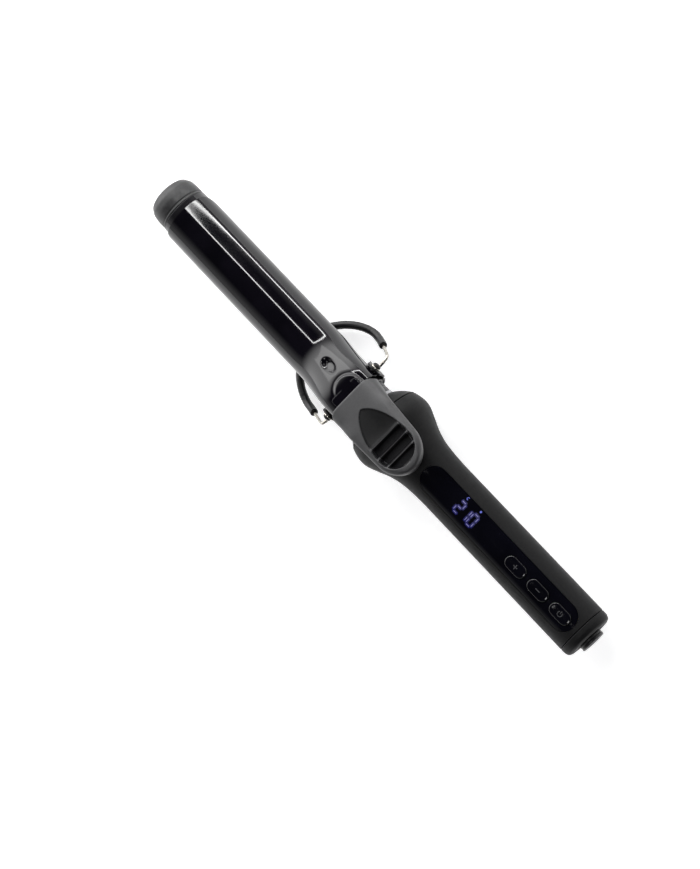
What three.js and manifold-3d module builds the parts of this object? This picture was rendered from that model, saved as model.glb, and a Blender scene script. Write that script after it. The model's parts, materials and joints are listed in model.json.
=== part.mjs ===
// Clamp curling iron with a 32 mm barrel, a thumb lever, a folding wire stand and a digital handle.
// Millimetres, +Z up. The iron lies along X: the cool tip at -X, the cord gland at +X, the lever on top.
// Stations along the iron are measured from the stand's pivot, heights from the barrel's axis; the
// whole group is then moved so that its origin is at the bottom centre of the iron.
import * as THREE from "three";
import { mergeVertices } from "three/addons/utils/BufferGeometryUtils.js";
import Module from "manifold-3d";

const wasm = await Module();
wasm.setup();

// ---------------------------------------------------------------- driving dimensions

const GAP = 0.3; // clearance between neighbouring pieces
const ROUND = 32; // sides of a turned piece
const SMALL_ROUND = 12; // sides of a small pin, screw or lead

const BARREL_RADIUS = 16;
const BARREL_WALL = 0.9;
const BARREL_START = -150;
const BARREL_END = 0;
const TIP_FACE = -166;
const TIP_FACE_RADIUS = 10;

const SPREADER_RADIUS = 14.6;
const SPREADER_START = -138;
const SPREADER_END = -22;
const HEATER = { length: 100, width: 14, thick: 1.8 };
const LEAD_RADIUS = 0.9;

const NECK_RADIUS = 14.9;
const NECK_BORE = 12.4;
const COLLAR_START = 15.7;
const RING_START = 17.9;
const RING_END = 26.3;
const RING_BORE = 15.7;
const RING_LINE = [
  [RING_START, 16.2],
  [18.9, 17.6],
  [20.2, 19.2],
  [21.6, 20.6],
  [23.2, 22],
  [24.8, 23.2],
  [RING_END, 24.1],
];

const HANDLE_START = 26.7;
const HANDLE_END = 191;
const BULB_RADIUS = 25.75;
const BULB_X = 34;
const HANDLE_RADIUS = 16.2;
const GRIP_START = 77.5; // where the bulb's taper has run out
const HANDLE_BORE = 13.6;
const BULB_BORE = 19.4;
const LEVER_FLAT = 21; // height of the flat under the lever on the ring and the bulb

const LENS = { start: 66, end: 188, width: 16.6, thick: 1.1, inset: 0.1 };
const BUTTON = { length: 14.7, width: 7.6, proud: 0.7, pitch: 18, first: 141.6 };
const BOARD = { start: 73, end: 182, halfWidth: 10, bottom: 7, top: 8.6 };

const CAP_SPIGOT = 186.6; // where the end cap's spigot starts inside the handle
const CAP_END = 197.5;
const GLAND_END = 201;
const GLAND_BORE = 3.6;

const BLADE_START = -146;
const BLADE_INNER = 16.4;
const BLADE_THICK = 0.8;
const NECK_RISE_START = -35;
const NECK_RISE_END = 2.7;
const BLADE_END = 6.2;
const BLADE_TOP_END = 25.5;
const BLADE_EDGE_END = 11;
const EDGE_RISE_START = -28; // where the blade's lower edges start to rise towards the hinge
const TONGUE = { start: -7, end: 20, halfWidth: 10, bottom: 24.9, top: 26 };

const HINGE = { x: 2.4, z: 10 };
const LEVER = {
  start: 6.5,
  end: 65.2,
  roundFrom: 49.3,
  frontHalf: 17.3,
  backHalf: 15.1,
  frontTop: 28.8,
  backTop: 37.7,
};
const LEVER_WALL = 1.6;
const SCOOP = { start: 18, end: 60.2, halfWidth: 12.4, firstDepth: 1.2, depth: 2.8 };
const RIBS = [39.5, 46.5, 53.4];
const RIB_THICK = 2.4;

const STAND = { x: 1.5, z: 1, wire: 1, sleeve: 2.5, bore: 1.45 };
const EAR = { inner: 18.2, outer: 19.3, radius: 5 };

// ---------------------------------------------------------------- materials

function finish(color, roughness, metalness) {
  return new THREE.MeshStandardMaterial({ color, roughness, metalness });
}

const COATED_METAL = finish(0x1b1a20, 0.16, 0.6);
const CHARCOAL_PLASTIC = finish(0x3a3a3c, 0.62, 0);
const BLACK_PLASTIC = finish(0x101012, 0.35, 0);
const GLOSS_PANEL = finish(0x0b0b12, 0.08, 0);
const GREY_TRIM = finish(0x8f9092, 0.4, 0.3);
const BRIGHT_STEEL = finish(0xc8c8c6, 0.2, 1);
const BLACK_STEEL = finish(0x141414, 0.4, 0.8);
const BLACK_RUBBER = finish(0x161618, 0.7, 0);
const ALUMINIUM = finish(0xb4b6b8, 0.35, 1);
const CERAMIC = finish(0xe8e4da, 0.5, 0);
const CIRCUIT_BOARD = finish(0x1f5a34, 0.5, 0);
const BRASS = finish(0xc39a4a, 0.3, 1);
const LEAD_SLEEVE = finish(0xd9d4c8, 0.7, 0);

// ---------------------------------------------------------------- solids and booleans

// Merges a three.js geometry's vertices, drops empty triangles and turns its faces outwards.
function closed(source) {
  let geometry = source.index ? source : source.clone();
  geometry = geometry.clone();
  geometry.deleteAttribute("normal");
  geometry.deleteAttribute("uv");
  geometry = mergeVertices(geometry, 1e-4);
  const position = geometry.attributes.position;
  const index = geometry.index.array;
  const corners = [new THREE.Vector3(), new THREE.Vector3(), new THREE.Vector3()];
  const kept = [];
  let volume = 0;
  for (let i = 0; i < index.length; i += 3) {
    const [a, b, c] = [index[i], index[i + 1], index[i + 2]];
    if (a === b || b === c || c === a) continue;
    corners.forEach((corner, k) => corner.fromBufferAttribute(position, index[i + k]));
    volume += corners[0].dot(corners[1].clone().cross(corners[2]));
    kept.push(a, b, c);
  }
  if (volume < 0) {
    for (let i = 0; i < kept.length; i += 3) [kept[i + 1], kept[i + 2]] = [kept[i + 2], kept[i + 1]];
  }
  geometry.setIndex(kept);
  return geometry;
}

function toManifold(geometry) {
  const merged = closed(geometry);
  return new wasm.Manifold(new wasm.Mesh({
    numProp: 3,
    vertProperties: new Float32Array(merged.attributes.position.array),
    triVerts: new Uint32Array(merged.index.array),
  }));
}

function toGeometry(manifold) {
  const mesh = manifold.getMesh();
  const geometry = new THREE.BufferGeometry();
  geometry.setAttribute("position", new THREE.Float32BufferAttribute(mesh.vertProperties, 3));
  geometry.setIndex(Array.from(mesh.triVerts));
  return geometry;
}

function join(first, ...others) {
  return toGeometry(others.reduce((sum, item) => sum.add(toManifold(item)), toManifold(first)));
}

function cut(first, ...others) {
  return toGeometry(others.reduce((rest, item) => rest.subtract(toManifold(item)), toManifold(first)));
}

function common(first, ...others) {
  return toGeometry(others.reduce((rest, item) => rest.intersect(toManifold(item)), toManifold(first)));
}

// ---------------------------------------------------------------- shape builders

function block(x0, x1, y0, y1, z0, z1) {
  const box = new THREE.BoxGeometry(x1 - x0, y1 - y0, z1 - z0);
  return box.translate((x0 + x1) / 2, (y0 + y1) / 2, (z0 + z1) / 2);
}

// Turns a profile of [x, radius] points about the X axis; a profile off the axis closes on itself.
function turned(profile, sides = ROUND) {
  const points = profile.map(([x, radius]) => new THREE.Vector2(radius, x));
  const [first, last] = [profile[0], profile[profile.length - 1]];
  if (first[1] > 0 || last[1] > 0) points.push(points[0].clone());
  return new THREE.LatheGeometry(points, sides).rotateZ(-Math.PI / 2);
}

// Cylinder along one axis between two places, centred on the other two coordinates.
function rod(axis, from, to, u, v, radius, sides = SMALL_ROUND) {
  const cylinder = new THREE.CylinderGeometry(radius, radius, to - from, sides);
  const middle = (from + to) / 2;
  if (axis === "x") return cylinder.rotateZ(-Math.PI / 2).translate(middle, u, v);
  if (axis === "y") return cylinder.translate(u, middle, v);
  return cylinder.rotateX(Math.PI / 2).translate(u, v, middle);
}

// Extrudes a shape drawn in X and Y upwards between two heights.
function raised(shape, z0, z1, curveSegments = 6) {
  const options = { depth: z1 - z0, bevelEnabled: false, curveSegments };
  return new THREE.ExtrudeGeometry(shape, options).translate(0, 0, z0);
}

// Extrudes a shape drawn in X and Z across the iron between two sides.
function across(shape, y0, y1, curveSegments = 8) {
  const options = { depth: y1 - y0, bevelEnabled: false, curveSegments };
  return new THREE.ExtrudeGeometry(shape, options).rotateX(Math.PI / 2).translate(0, y1, 0);
}

// Extrudes a shape drawn in Y and Z along the iron between two stations.
function along(shape, x0, x1, curveSegments = 10) {
  const options = { depth: x1 - x0, bevelEnabled: false, curveSegments };
  const turn = new THREE.Matrix4().makeBasis(
    new THREE.Vector3(0, 1, 0),
    new THREE.Vector3(0, 0, 1),
    new THREE.Vector3(1, 0, 0),
  );
  return new THREE.ExtrudeGeometry(shape, options).applyMatrix4(turn).translate(x0, 0, 0);
}

// Outline with two straight sides and two half-round ends, long axis along X.
function racetrack(x0, x1, width) {
  const radius = width / 2;
  const shape = new THREE.Shape();
  shape.moveTo(x0 + radius, -radius);
  shape.lineTo(x1 - radius, -radius);
  shape.absarc(x1 - radius, 0, radius, -Math.PI / 2, Math.PI / 2, false);
  shape.lineTo(x0 + radius, radius);
  shape.absarc(x0 + radius, 0, radius, Math.PI / 2, Math.PI * 1.5, false);
  return shape;
}

function ringShape(outer, inner) {
  const shape = new THREE.Shape();
  shape.absarc(0, 0, outer, 0, Math.PI * 2, false);
  if (inner > 0) {
    const hole = new THREE.Path();
    hole.absarc(0, 0, inner, 0, Math.PI * 2, true);
    shape.holes.push(hole);
  }
  return shape;
}

// Sweeps a round or tubular section along a curve, with flat ends.
function swept(curve, outer, inner, steps, sides = 8) {
  const options = { extrudePath: curve, steps, curveSegments: sides, bevelEnabled: false };
  return new THREE.ExtrudeGeometry(ringShape(outer, inner), options);
}

function mix(a, b, t) {
  return a + (b - a) * t;
}

function smooth(t) {
  const s = Math.min(Math.max(t, 0), 1);
  return s * s * (3 - 2 * s);
}

// Solid arch through a row of stations. Each station gives its half width, the height of its side
// edges, the height of its crown and how square its shoulders are (1 is round). A drop carries its
// sides straight down below the edges, which a solid that hollows another one out needs.
function arch(stations, drop = 0, columns = 16) {
  const rings = stations.map((s) => {
    const points = [];
    for (let i = 0; i <= columns; i += 1) {
      const angle = (Math.PI * i) / columns;
      const side = Math.sign(Math.cos(angle)) * Math.abs(Math.cos(angle)) ** s.power;
      const rise = Math.sin(angle) ** s.power;
      points.push([s.x, s.half * side, s.edge + (s.crown - s.edge) * rise]);
    }
    if (drop > 0) points.push([s.x, -s.half, s.edge - drop], [s.x, s.half, s.edge - drop]);
    return points;
  });
  const size = rings[0].length;
  const last = (rings.length - 1) * size;
  const index = [];
  for (let row = 0; row + 1 < rings.length; row += 1) {
    for (let i = 0; i < size; i += 1) {
      const [near, far] = [row * size + i, row * size + ((i + 1) % size)];
      index.push(near, far, far + size, near, far + size, near + size);
    }
  }
  for (let i = 1; i + 1 < size; i += 1) {
    index.push(0, i + 1, i);
    index.push(last, last + i, last + i + 1);
  }
  const geometry = new THREE.BufferGeometry();
  geometry.setAttribute("position", new THREE.Float32BufferAttribute(rings.flat(2), 3));
  geometry.setIndex(index);
  return geometry;
}

// The room inside an arch: its stations moved in by a wall, and carried on past chosen ends.
function room(stations, wall, frontShift, backShift) {
  const inner = stations.map((s) => ({ ...s, half: Math.max(s.half - wall, 0.5), crown: s.crown - wall }));
  inner[0].x += frontShift;
  inner[inner.length - 1].x += backShift;
  return arch(inner, 6);
}

// ---------------------------------------------------------------- the handle's outline

const BULB_CURVE = new THREE.SplineCurve([
  new THREE.Vector2(HANDLE_START, 24.4),
  new THREE.Vector2(30.5, 25.3),
  new THREE.Vector2(BULB_X, BULB_RADIUS),
  new THREE.Vector2(38.2, 25.3),
  new THREE.Vector2(45.3, 22.5),
  new THREE.Vector2(52.4, 19.5),
  new THREE.Vector2(59.5, 17.6),
  new THREE.Vector2(67, 16.7),
  new THREE.Vector2(GRIP_START, HANDLE_RADIUS),
]);

// Points of the handle's outer line, moved inwards by an amount.
function handleLine(inwards = 0) {
  const bulb = BULB_CURVE.getPoints(16).map((point) => [point.x, point.y - inwards]);
  return [...bulb, [HANDLE_END, HANDLE_RADIUS - inwards]];
}

// Solid of revolution under the handle's outer line.
function handleCore(inwards) {
  return turned([[HANDLE_START, 0], ...handleLine(inwards), [HANDLE_END, 0]]);
}

const LENS_CORE = handleCore(LENS.inset);
const LENS_UNDERSIDE = handleCore(LENS.inset + LENS.thick);
const LENS_SEAT = handleCore(LENS.inset + LENS.thick + GAP);
const BUTTON_STATIONS = { plus: 0, minus: 1, power: 2 };

function buttonX(order) {
  return BUTTON.first + BUTTON.pitch * order;
}

function buttonOutline(order, grow) {
  const half = BUTTON.length / 2 + grow;
  return racetrack(buttonX(order) - half, buttonX(order) + half, BUTTON.width + grow * 2);
}

// ---------------------------------------------------------------- barrel and heater

function barrelTube() {
  const bore = BARREL_RADIUS - BARREL_WALL;
  return turned([
    [BARREL_START, BARREL_RADIUS],
    [BARREL_END, BARREL_RADIUS],
    [BARREL_END, bore],
    [BARREL_START, bore],
  ]);
}

function tipCap() {
  const spigot = BARREL_RADIUS - BARREL_WALL - GAP;
  return turned([
    [TIP_FACE, 0],
    [TIP_FACE, TIP_FACE_RADIUS],
    [TIP_FACE + 1.4, 13.2],
    [TIP_FACE + 5, 15.2],
    [TIP_FACE + 9, 15.7],
    [BARREL_START - GAP, 15.7],
    [BARREL_START - GAP, spigot],
    [BARREL_START + 7, spigot],
    [BARREL_START + 7, spigot - 2],
    [TIP_FACE + 4, spigot - 2.4],
    [TIP_FACE + 3, 0],
  ]);
}

// Half-round aluminium bar with a groove in its flat side for a sensor.
function heatSpreader(side) {
  const flat = HEATER.thick / 2 + GAP;
  const bar = turned([[SPREADER_START, 0], [SPREADER_START, SPREADER_RADIUS],
    [SPREADER_END, SPREADER_RADIUS], [SPREADER_END, 0]]);
  const half = side > 0 ? block(-200, 0, -20, 20, flat, 20) : block(-200, 0, -20, 20, -20, -flat);
  const groove = side > 0 ? block(-200, 0, -3, 3, 0, 6) : block(-200, 0, -3, 3, -6, 0);
  return cut(common(bar, half), groove);
}

function heaterPlate() {
  const middle = (SPREADER_START + SPREADER_END) / 2;
  const { length, width, thick } = HEATER;
  return block(middle - length / 2, middle + length / 2, -width / 2, width / 2, -thick / 2, thick / 2);
}

function insulationDisc() {
  return turned([[-14, SPREADER_RADIUS], [-11, SPREADER_RADIUS], [-11, 6.5], [-14, 6.5]]);
}

function neckTube() {
  const spigot = BARREL_RADIUS - BARREL_WALL - GAP;
  const body = turned([
    [-8, spigot],
    [BARREL_END + GAP, spigot],
    [BARREL_END + GAP, BARREL_RADIUS],
    [7.5, BARREL_RADIUS],
    [7.5, NECK_RADIUS],
    [COLLAR_START - GAP, NECK_RADIUS],
    [COLLAR_START - GAP, 14.2],
    [24, 14.2],
    [24, NECK_BORE],
    [-8, NECK_BORE],
  ]);
  return cut(body, rod("z", -17, -11, 4, 0, 1.6));
}

function neckCollar() {
  return turned([[COLLAR_START, 15.4], [20.2, 15.4], [20.2, 14.5], [COLLAR_START, 14.5]]);
}

// ---------------------------------------------------------------- handle

function frontRing() {
  const inside = [[RING_END, 19.8], [22.9, 18], [21.5, RING_BORE], [RING_START, RING_BORE]];
  const body = turned([...RING_LINE, ...inside]);
  return cut(body, block(0, 60, -30, 30, LEVER_FLAT, 40));
}

function handleShell() {
  return turned([
    ...handleLine(),
    [HANDLE_END, HANDLE_BORE],
    [70, HANDLE_BORE],
    [58, 15],
    [45, BULB_BORE],
    [HANDLE_START, BULB_BORE],
  ]);
}

const SHELL_BOSS = { x: 40, y: 12, radius: 4 };
const BOARD_BOSSES = [[79, 8], [172, -8]];

function handleTopShell() {
  const half = common(handleShell(), block(0, 220, -40, 40, GAP / 2, LEVER_FLAT));
  const { x: bossX, y: bossY, radius } = SHELL_BOSS;
  const shellBosses = [-1, 1].map((side) => rod("z", GAP / 2, 17, bossX, side * bossY, radius));
  const shellHoles = [-1, 1].map((side) => rod("z", -1, 9, bossX, side * bossY, 1.7));
  const boardBosses = BOARD_BOSSES.map(([x, y]) => rod("z", BOARD.top + GAP, 11.8, x, y, 2.2));
  const boardHoles = BOARD_BOSSES.map(([x, y]) => rod("z", BOARD.top, 10.8, x, y, 1.2));
  const recess = cut(
    raised(racetrack(LENS.start - GAP, LENS.end + GAP, LENS.width + GAP * 2), 5, 24),
    LENS_SEAT,
  );
  const window = raised(racetrack(LENS.start + 5, LENS.end - 1.6, 12), 5, 24);
  return cut(join(half, ...shellBosses, ...boardBosses), ...shellHoles, ...boardHoles, recess, window);
}

function handleBottomShell() {
  const half = common(handleShell(), block(0, 220, -40, 40, -40, -GAP / 2));
  const { x: bossX, y: bossY, radius } = SHELL_BOSS;
  const bosses = [-1, 1].map((side) => rod("z", -17, -GAP / 2, bossX, side * bossY, radius));
  const holes = [-1, 1].map((side) => rod("z", -40, 1, bossX, side * bossY, 1.9));
  const recesses = [-1, 1].map((side) => rod("z", -40, -17.6, bossX, side * bossY, 3.1));
  return cut(join(half, ...bosses), ...holes, ...recesses);
}

function displayLens() {
  const plate = raised(racetrack(LENS.start, LENS.end, LENS.width), 5, 24);
  const holes = Object.values(BUTTON_STATIONS).map((order) => raised(buttonOutline(order, GAP), 5, 24));
  return cut(common(plate, LENS_CORE), LENS_UNDERSIDE, ...holes);
}

function button(order) {
  const crown = turned([[130, 0], [130, HANDLE_RADIUS + BUTTON.proud], [190, HANDLE_RADIUS + BUTTON.proud],
    [190, 0]]);
  const cap = raised(buttonOutline(order, 0), 13, 20);
  const flange = raised(buttonOutline(order, 0.8), 13, 13.8);
  return join(common(cap, crown), flange);
}

function tactSwitch(order) {
  const x = buttonX(order);
  const body = block(x - 3, x + 3, -3, 3, BOARD.top + GAP, 11.4);
  return join(body, rod("z", 11, 12.1, x, 0, 1.7));
}

function mainBoard() {
  const { start, end, halfWidth, bottom, top } = BOARD;
  const holes = BOARD_BOSSES.map(([x, y]) => rod("z", bottom - 1, top + 1, x, y, 1.3));
  return cut(block(start, end, -halfWidth, halfWidth, bottom, top), ...holes);
}

// Pan-head screw pointing up: its head's underside is at z0, its shank ends at z1.
function screw(x, y, z0, z1, headRadius, headHeight, shankRadius) {
  const head = rod("z", z0 - headHeight, z0, x, y, headRadius);
  return join(head, rod("z", z0 - headHeight / 2, z1, x, y, shankRadius));
}

function endCap() {
  return turned([
    [CAP_SPIGOT, HANDLE_BORE - GAP],
    [HANDLE_END + GAP, HANDLE_BORE - GAP],
    [HANDLE_END + GAP, HANDLE_RADIUS],
    [194.5, HANDLE_RADIUS - 0.1],
    [196.6, 15.2],
    [CAP_END, 13.4],
    [CAP_END, 6.6],
    [CAP_END - 2.4, 6.6],
    [CAP_END - 2.4, 11.4],
    [CAP_SPIGOT, 11.4],
  ]);
}

// ---------------------------------------------------------------- cord swivel

function swivelGland() {
  return turned([
    [179, 5],
    [192, 5],
    [192, 8.5],
    [194.6, 8.5],
    [194.6, 6.2],
    [CAP_END + GAP, 6.2],
    [CAP_END + GAP, 7.6],
    [GLAND_END - 0.5, 7.6],
    [GLAND_END, 7.1],
    [GLAND_END, GLAND_BORE],
    [179, GLAND_BORE],
  ], 24);
}

function slipRing(x) {
  return turned([[x, 6.6], [x + 2, 6.6], [x + 2, 5.3], [x, 5.3]], 24);
}

function swivelHousing() {
  const cup = turned([[177, 11], [188.5, 11], [188.5, 9.4], [178.5, 9.4], [178.5, 6.2], [177, 6.2]]);
  return common(cup, block(170, 195, -12, 12, -12, 6.6));
}

// Brass leaf that touches one slip ring from the side.
function swivelContact(side, x) {
  const leaf = block(x + 0.2, x + 1.8, 7, 8.2, -4, 4);
  return side > 0 ? leaf : leaf.scale(1, -1, 1);
}

// ---------------------------------------------------------------- clamp

// The blade's section at a station: round over the barrel, then rising to a squarer neck.
function bladeStation(x) {
  const rise = smooth((x - NECK_RISE_START) / (NECK_RISE_END - NECK_RISE_START));
  const lift = smooth((x - EDGE_RISE_START) / (NECK_RISE_END - EDGE_RISE_START));
  const outer = BLADE_INNER + BLADE_THICK;
  return {
    x,
    half: outer,
    edge: mix(0.5, BLADE_EDGE_END, lift),
    crown: mix(outer, BLADE_TOP_END, rise),
    power: mix(1, 0.68, rise),
  };
}

// Side view of the blade's free end, where its lower corners are rounded off.
function bladeEndShape() {
  const shape = new THREE.Shape();
  shape.moveTo(BLADE_START, 10);
  shape.quadraticCurveTo(BLADE_START + 0.5, 0, BLADE_START + 10, 0);
  shape.lineTo(8, 0);
  shape.lineTo(8, 40);
  shape.lineTo(BLADE_START, 40);
  return shape;
}

// Ear of the blade that hangs down beside the neck and carries the hinge pin.
function bladeEar(side) {
  const radius = 3.6;
  const shape = new THREE.Shape();
  shape.moveTo(HINGE.x - radius, HINGE.z);
  shape.absarc(HINGE.x, HINGE.z, radius, Math.PI, Math.PI * 2, false);
  shape.lineTo(HINGE.x + radius, HINGE.z + 2);
  shape.lineTo(HINGE.x, 15);
  shape.lineTo(HINGE.x - radius, 15);
  const plate = across(shape, BLADE_INNER, BLADE_INNER + BLADE_THICK);
  return side > 0 ? plate : plate.scale(1, -1, 1);
}

function tonguePlan() {
  const front = TONGUE.start + TONGUE.halfWidth;
  const shape = new THREE.Shape();
  shape.moveTo(TONGUE.end, -TONGUE.halfWidth);
  shape.lineTo(TONGUE.end, TONGUE.halfWidth);
  shape.lineTo(front, TONGUE.halfWidth);
  shape.absarc(front, 0, TONGUE.halfWidth, Math.PI / 2, Math.PI * 1.5, false);
  return shape;
}

function clampBlade() {
  const stations = [bladeStation(BLADE_START)];
  const neckSteps = 11;
  for (let i = 0; i <= neckSteps; i += 1) {
    stations.push(bladeStation(mix(NECK_RISE_START, NECK_RISE_END, i / neckSteps)));
  }
  stations.push(bladeStation(BLADE_END));
  const shell = cut(arch(stations), room(stations, BLADE_THICK, -1, 1));
  const trimmed = common(shell, across(bladeEndShape(), -30, 30));
  const tongue = common(raised(tonguePlan(), 20, 30), across(tongueSide(), -12, 12));
  const holes = [
    rod("y", -30, 30, HINGE.x, HINGE.z, 1.9),
    ...LEVER_SCREWS.map(([x, y]) => rod("z", 22, 28, x, y, 1.5)),
  ];
  return cut(join(trimmed, tongue, bladeEar(1), bladeEar(-1)), ...holes);
}

// Side outline of the tongue: it swells out of the neck and runs on level under the lever.
function tongueSide() {
  const shape = new THREE.Shape();
  shape.moveTo(TONGUE.start, 23);
  shape.quadraticCurveTo(TONGUE.start + 1, TONGUE.top - 0.6, 1, TONGUE.top);
  shape.lineTo(TONGUE.end, TONGUE.top);
  shape.lineTo(TONGUE.end, TONGUE.bottom);
  shape.lineTo(NECK_RISE_END - 1, TONGUE.bottom - 0.2);
  return shape;
}

const LEVER_SCREWS = [[13.5, 6], [13.5, -6]];

function leverTop(x) {
  return mix(LEVER.frontTop, LEVER.backTop, (x - LEVER.start) / (LEVER.end - LEVER.start));
}

function leverEdge(x) {
  if (x < 14) return mix(18.5, 20.5, (x - LEVER.start) / (14 - LEVER.start));
  if (x < 27) return mix(20.5, 27.4, smooth((x - 14) / 13));
  return mix(27.4, 31.4, (x - 27) / (LEVER.end - 27));
}

function leverStation(x) {
  const plain = mix(LEVER.frontHalf, LEVER.backHalf, (x - LEVER.start) / (LEVER.roundFrom - LEVER.start));
  const past = Math.max(0, (x - LEVER.roundFrom) / (LEVER.end - LEVER.roundFrom));
  const round = Math.sqrt(Math.max(0.05, 1 - past ** 2.1));
  return {
    x,
    half: Math.min(plain, LEVER.frontHalf) * round,
    edge: leverEdge(x),
    crown: leverTop(x),
    wall: LEVER_WALL,
    power: 0.55,
  };
}

function scoopShape() {
  const { start, end, halfWidth } = SCOOP;
  const shape = new THREE.Shape();
  const shoulder = 46;
  shape.moveTo(start, 0);
  shape.bezierCurveTo(start, -4, 30, -halfWidth, shoulder, -halfWidth);
  shape.bezierCurveTo(55, -halfWidth, end, -8, end, 0);
  shape.bezierCurveTo(end, 8, 55, halfWidth, shoulder, halfWidth);
  shape.bezierCurveTo(30, halfWidth, start, 4, start, 0);
  return shape;
}

// Everything above the scoop's floor line, or above a line some way below it. The floor ramps down
// from the scoop's point and then runs parallel to the lever's top.
function aboveScoopFloor(below) {
  const [x0, x1, sky] = [10, 70, 45];
  const { start, firstDepth, depth: fullDepth } = SCOOP;
  const line = [[x0, firstDepth], [start, firstDepth], [28, fullDepth], [x1, fullDepth]];
  const shape = new THREE.Shape();
  shape.moveTo(x1, sky);
  shape.lineTo(x0, sky);
  for (const [x, depth] of line) shape.lineTo(x, leverTop(x) - depth - below);
  return across(shape, -20, 20);
}

// The lever's roof is thicker under the scoop: this is the room below that thickened part.
function scoopRoof() {
  const plan = racetrack(SCOOP.start - 2, SCOOP.end + 1, SCOOP.halfWidth * 2 + 1);
  return common(raised(plan, 20, 45), aboveScoopFloor(LEVER_WALL));
}

function thumbLever() {
  const stations = [LEVER.start, 10, 14, 17, 22, 27, 38, LEVER.roundFrom].map(leverStation);
  for (const past of [0.35, 0.65, 0.85, 0.95, 1]) {
    stations.push(leverStation(mix(LEVER.roundFrom, LEVER.end, past)));
  }
  const hollow = cut(room(stations, LEVER_WALL, -1, -LEVER_WALL), scoopRoof());
  const scoop = common(raised(scoopShape(), 20, 45), aboveScoopFloor(0));
  const ribs = RIBS.map((x) => {
    const bar = block(x - RIB_THICK / 2, x + RIB_THICK / 2, -20, 20, 25, 45);
    return common(bar, raised(scoopShape(), 20, 45), ribBand());
  });
  const bosses = LEVER_SCREWS.map(([x, y]) => rod("z", TONGUE.top + GAP, 28.95, x, y, 3));
  const holes = LEVER_SCREWS.map(([x, y]) => rod("z", 24, 28.7, x, y, 1.5));
  return cut(join(cut(arch(stations), hollow, scoop), ...ribs, ...bosses), ...holes);
}

// Side view of the band that the ribs fill, from inside the scoop's floor to just under the rim.
function ribBand() {
  const [x0, x1] = [20, 66];
  const [low, high] = [SCOOP.depth + 0.6, 0.9];
  const shape = new THREE.Shape();
  shape.moveTo(x0, leverTop(x0) - low);
  shape.lineTo(x1, leverTop(x1) - low);
  shape.lineTo(x1, leverTop(x1) - high);
  shape.lineTo(x0, leverTop(x0) - high);
  return across(shape, -20, 20);
}

function returnSpring() {
  const [turns, bottom, top] = [4, NECK_RADIUS + 0.9, TONGUE.bottom - 1];
  const points = [];
  const perTurn = 8;
  for (let i = 0; i <= turns * perTurn; i += 1) {
    const angle = (Math.PI * 2 * i) / perTurn;
    const height = mix(bottom, top, i / (turns * perTurn));
    points.push(new THREE.Vector3(11.2 + 2.6 * Math.cos(angle), 2.6 * Math.sin(angle), height));
  }
  return swept(new THREE.CatmullRomCurve3(points), 0.45, 0, turns * perTurn, 3);
}

// ---------------------------------------------------------------- hinge saddle and stand

function hingeSaddle() {
  const inner = BARREL_RADIUS + 0.35;
  const outer = inner + 1.1;
  const strap = new THREE.Shape();
  strap.moveTo(-EAR.inner, 3.4);
  strap.lineTo(-EAR.inner, 16);
  strap.lineTo(-EAR.outer, 16);
  strap.lineTo(-EAR.outer, 3);
  strap.lineTo(-outer, 0);
  strap.absarc(0, 0, outer, Math.PI, Math.PI * 2, false);
  strap.lineTo(EAR.outer, 3);
  strap.lineTo(EAR.outer, 16);
  strap.lineTo(EAR.inner, 16);
  strap.lineTo(EAR.inner, 3.4);
  strap.lineTo(inner, 0);
  strap.absarc(0, 0, inner, 0, -Math.PI, true);
  const side = new THREE.Shape();
  side.moveTo(-4, -30);
  side.lineTo(8, -30);
  side.lineTo(8, 3);
  side.lineTo(HINGE.x + EAR.radius, HINGE.z);
  side.absarc(HINGE.x, HINGE.z, EAR.radius, 0, Math.PI, false);
  side.lineTo(-4, 3);
  return cut(
    common(along(strap, -10, 10, 16), across(side, -30, 30)),
    rod("y", -30, 30, HINGE.x, HINGE.z, 1.9),
    rod("y", -30, 30, STAND.x, STAND.z, STAND.wire + GAP),
    rod("z", -30, -10, 4, 0, 1.6),
  );
}

function hingeRivet(side) {
  const head = turned([[20.5, 0], [20.5, 2.6], [21.4, 2.4], [22.1, 1.5], [22.3, 0]], SMALL_ROUND);
  const pin = rod("x", 15.4, 21, 0, 0, 1.5);
  const rivet = join(head, pin).rotateZ(side * Math.PI / 2);
  return rivet.translate(HINGE.x, 0, HINGE.z);
}

function hingeWasher(side) {
  const washer = turned([[19.6, 3.3], [20.2, 3.3], [20.2, 1.8], [19.6, 1.8]], SMALL_ROUND);
  return washer.rotateZ(side * Math.PI / 2).translate(HINGE.x, 0, HINGE.z);
}

// Half of the stand's centre line, from its end in the saddle to the middle of the loop.
const STAND_HALF = [
  [STAND.x, 17.1, STAND.z],
  [STAND.x, 21, STAND.z],
  [1.3, 25.2, STAND.z],
  [0.6, 27.2, 0.2],
  [-1, 28, -1.9],
  [-5, 28.5, -6.4],
  [-9.6, 28.9, -11.4],
  [-14.2, 29.1, -15.4],
  [-19.5, 28.9, -17.8],
  [-26.5, 26.5, -18.6],
  [-33.7, 21.6, -18.7],
  [-40.9, 13.3, -18.9],
  [-45, 5.6, -19],
];

function standCurve() {
  const half = STAND_HALF.map(([x, y, z]) => new THREE.Vector3(x, y, z));
  const middle = new THREE.Vector3(-46, 0, -19);
  const mirrored = half.map((point) => new THREE.Vector3(point.x, -point.y, point.z)).reverse();
  return new THREE.CatmullRomCurve3([...half, middle, ...mirrored], false, "centripetal");
}

const STAND_CURVE = standCurve();

function standWire() {
  return swept(STAND_CURVE, STAND.wire, 0, 64, 3);
}

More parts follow.
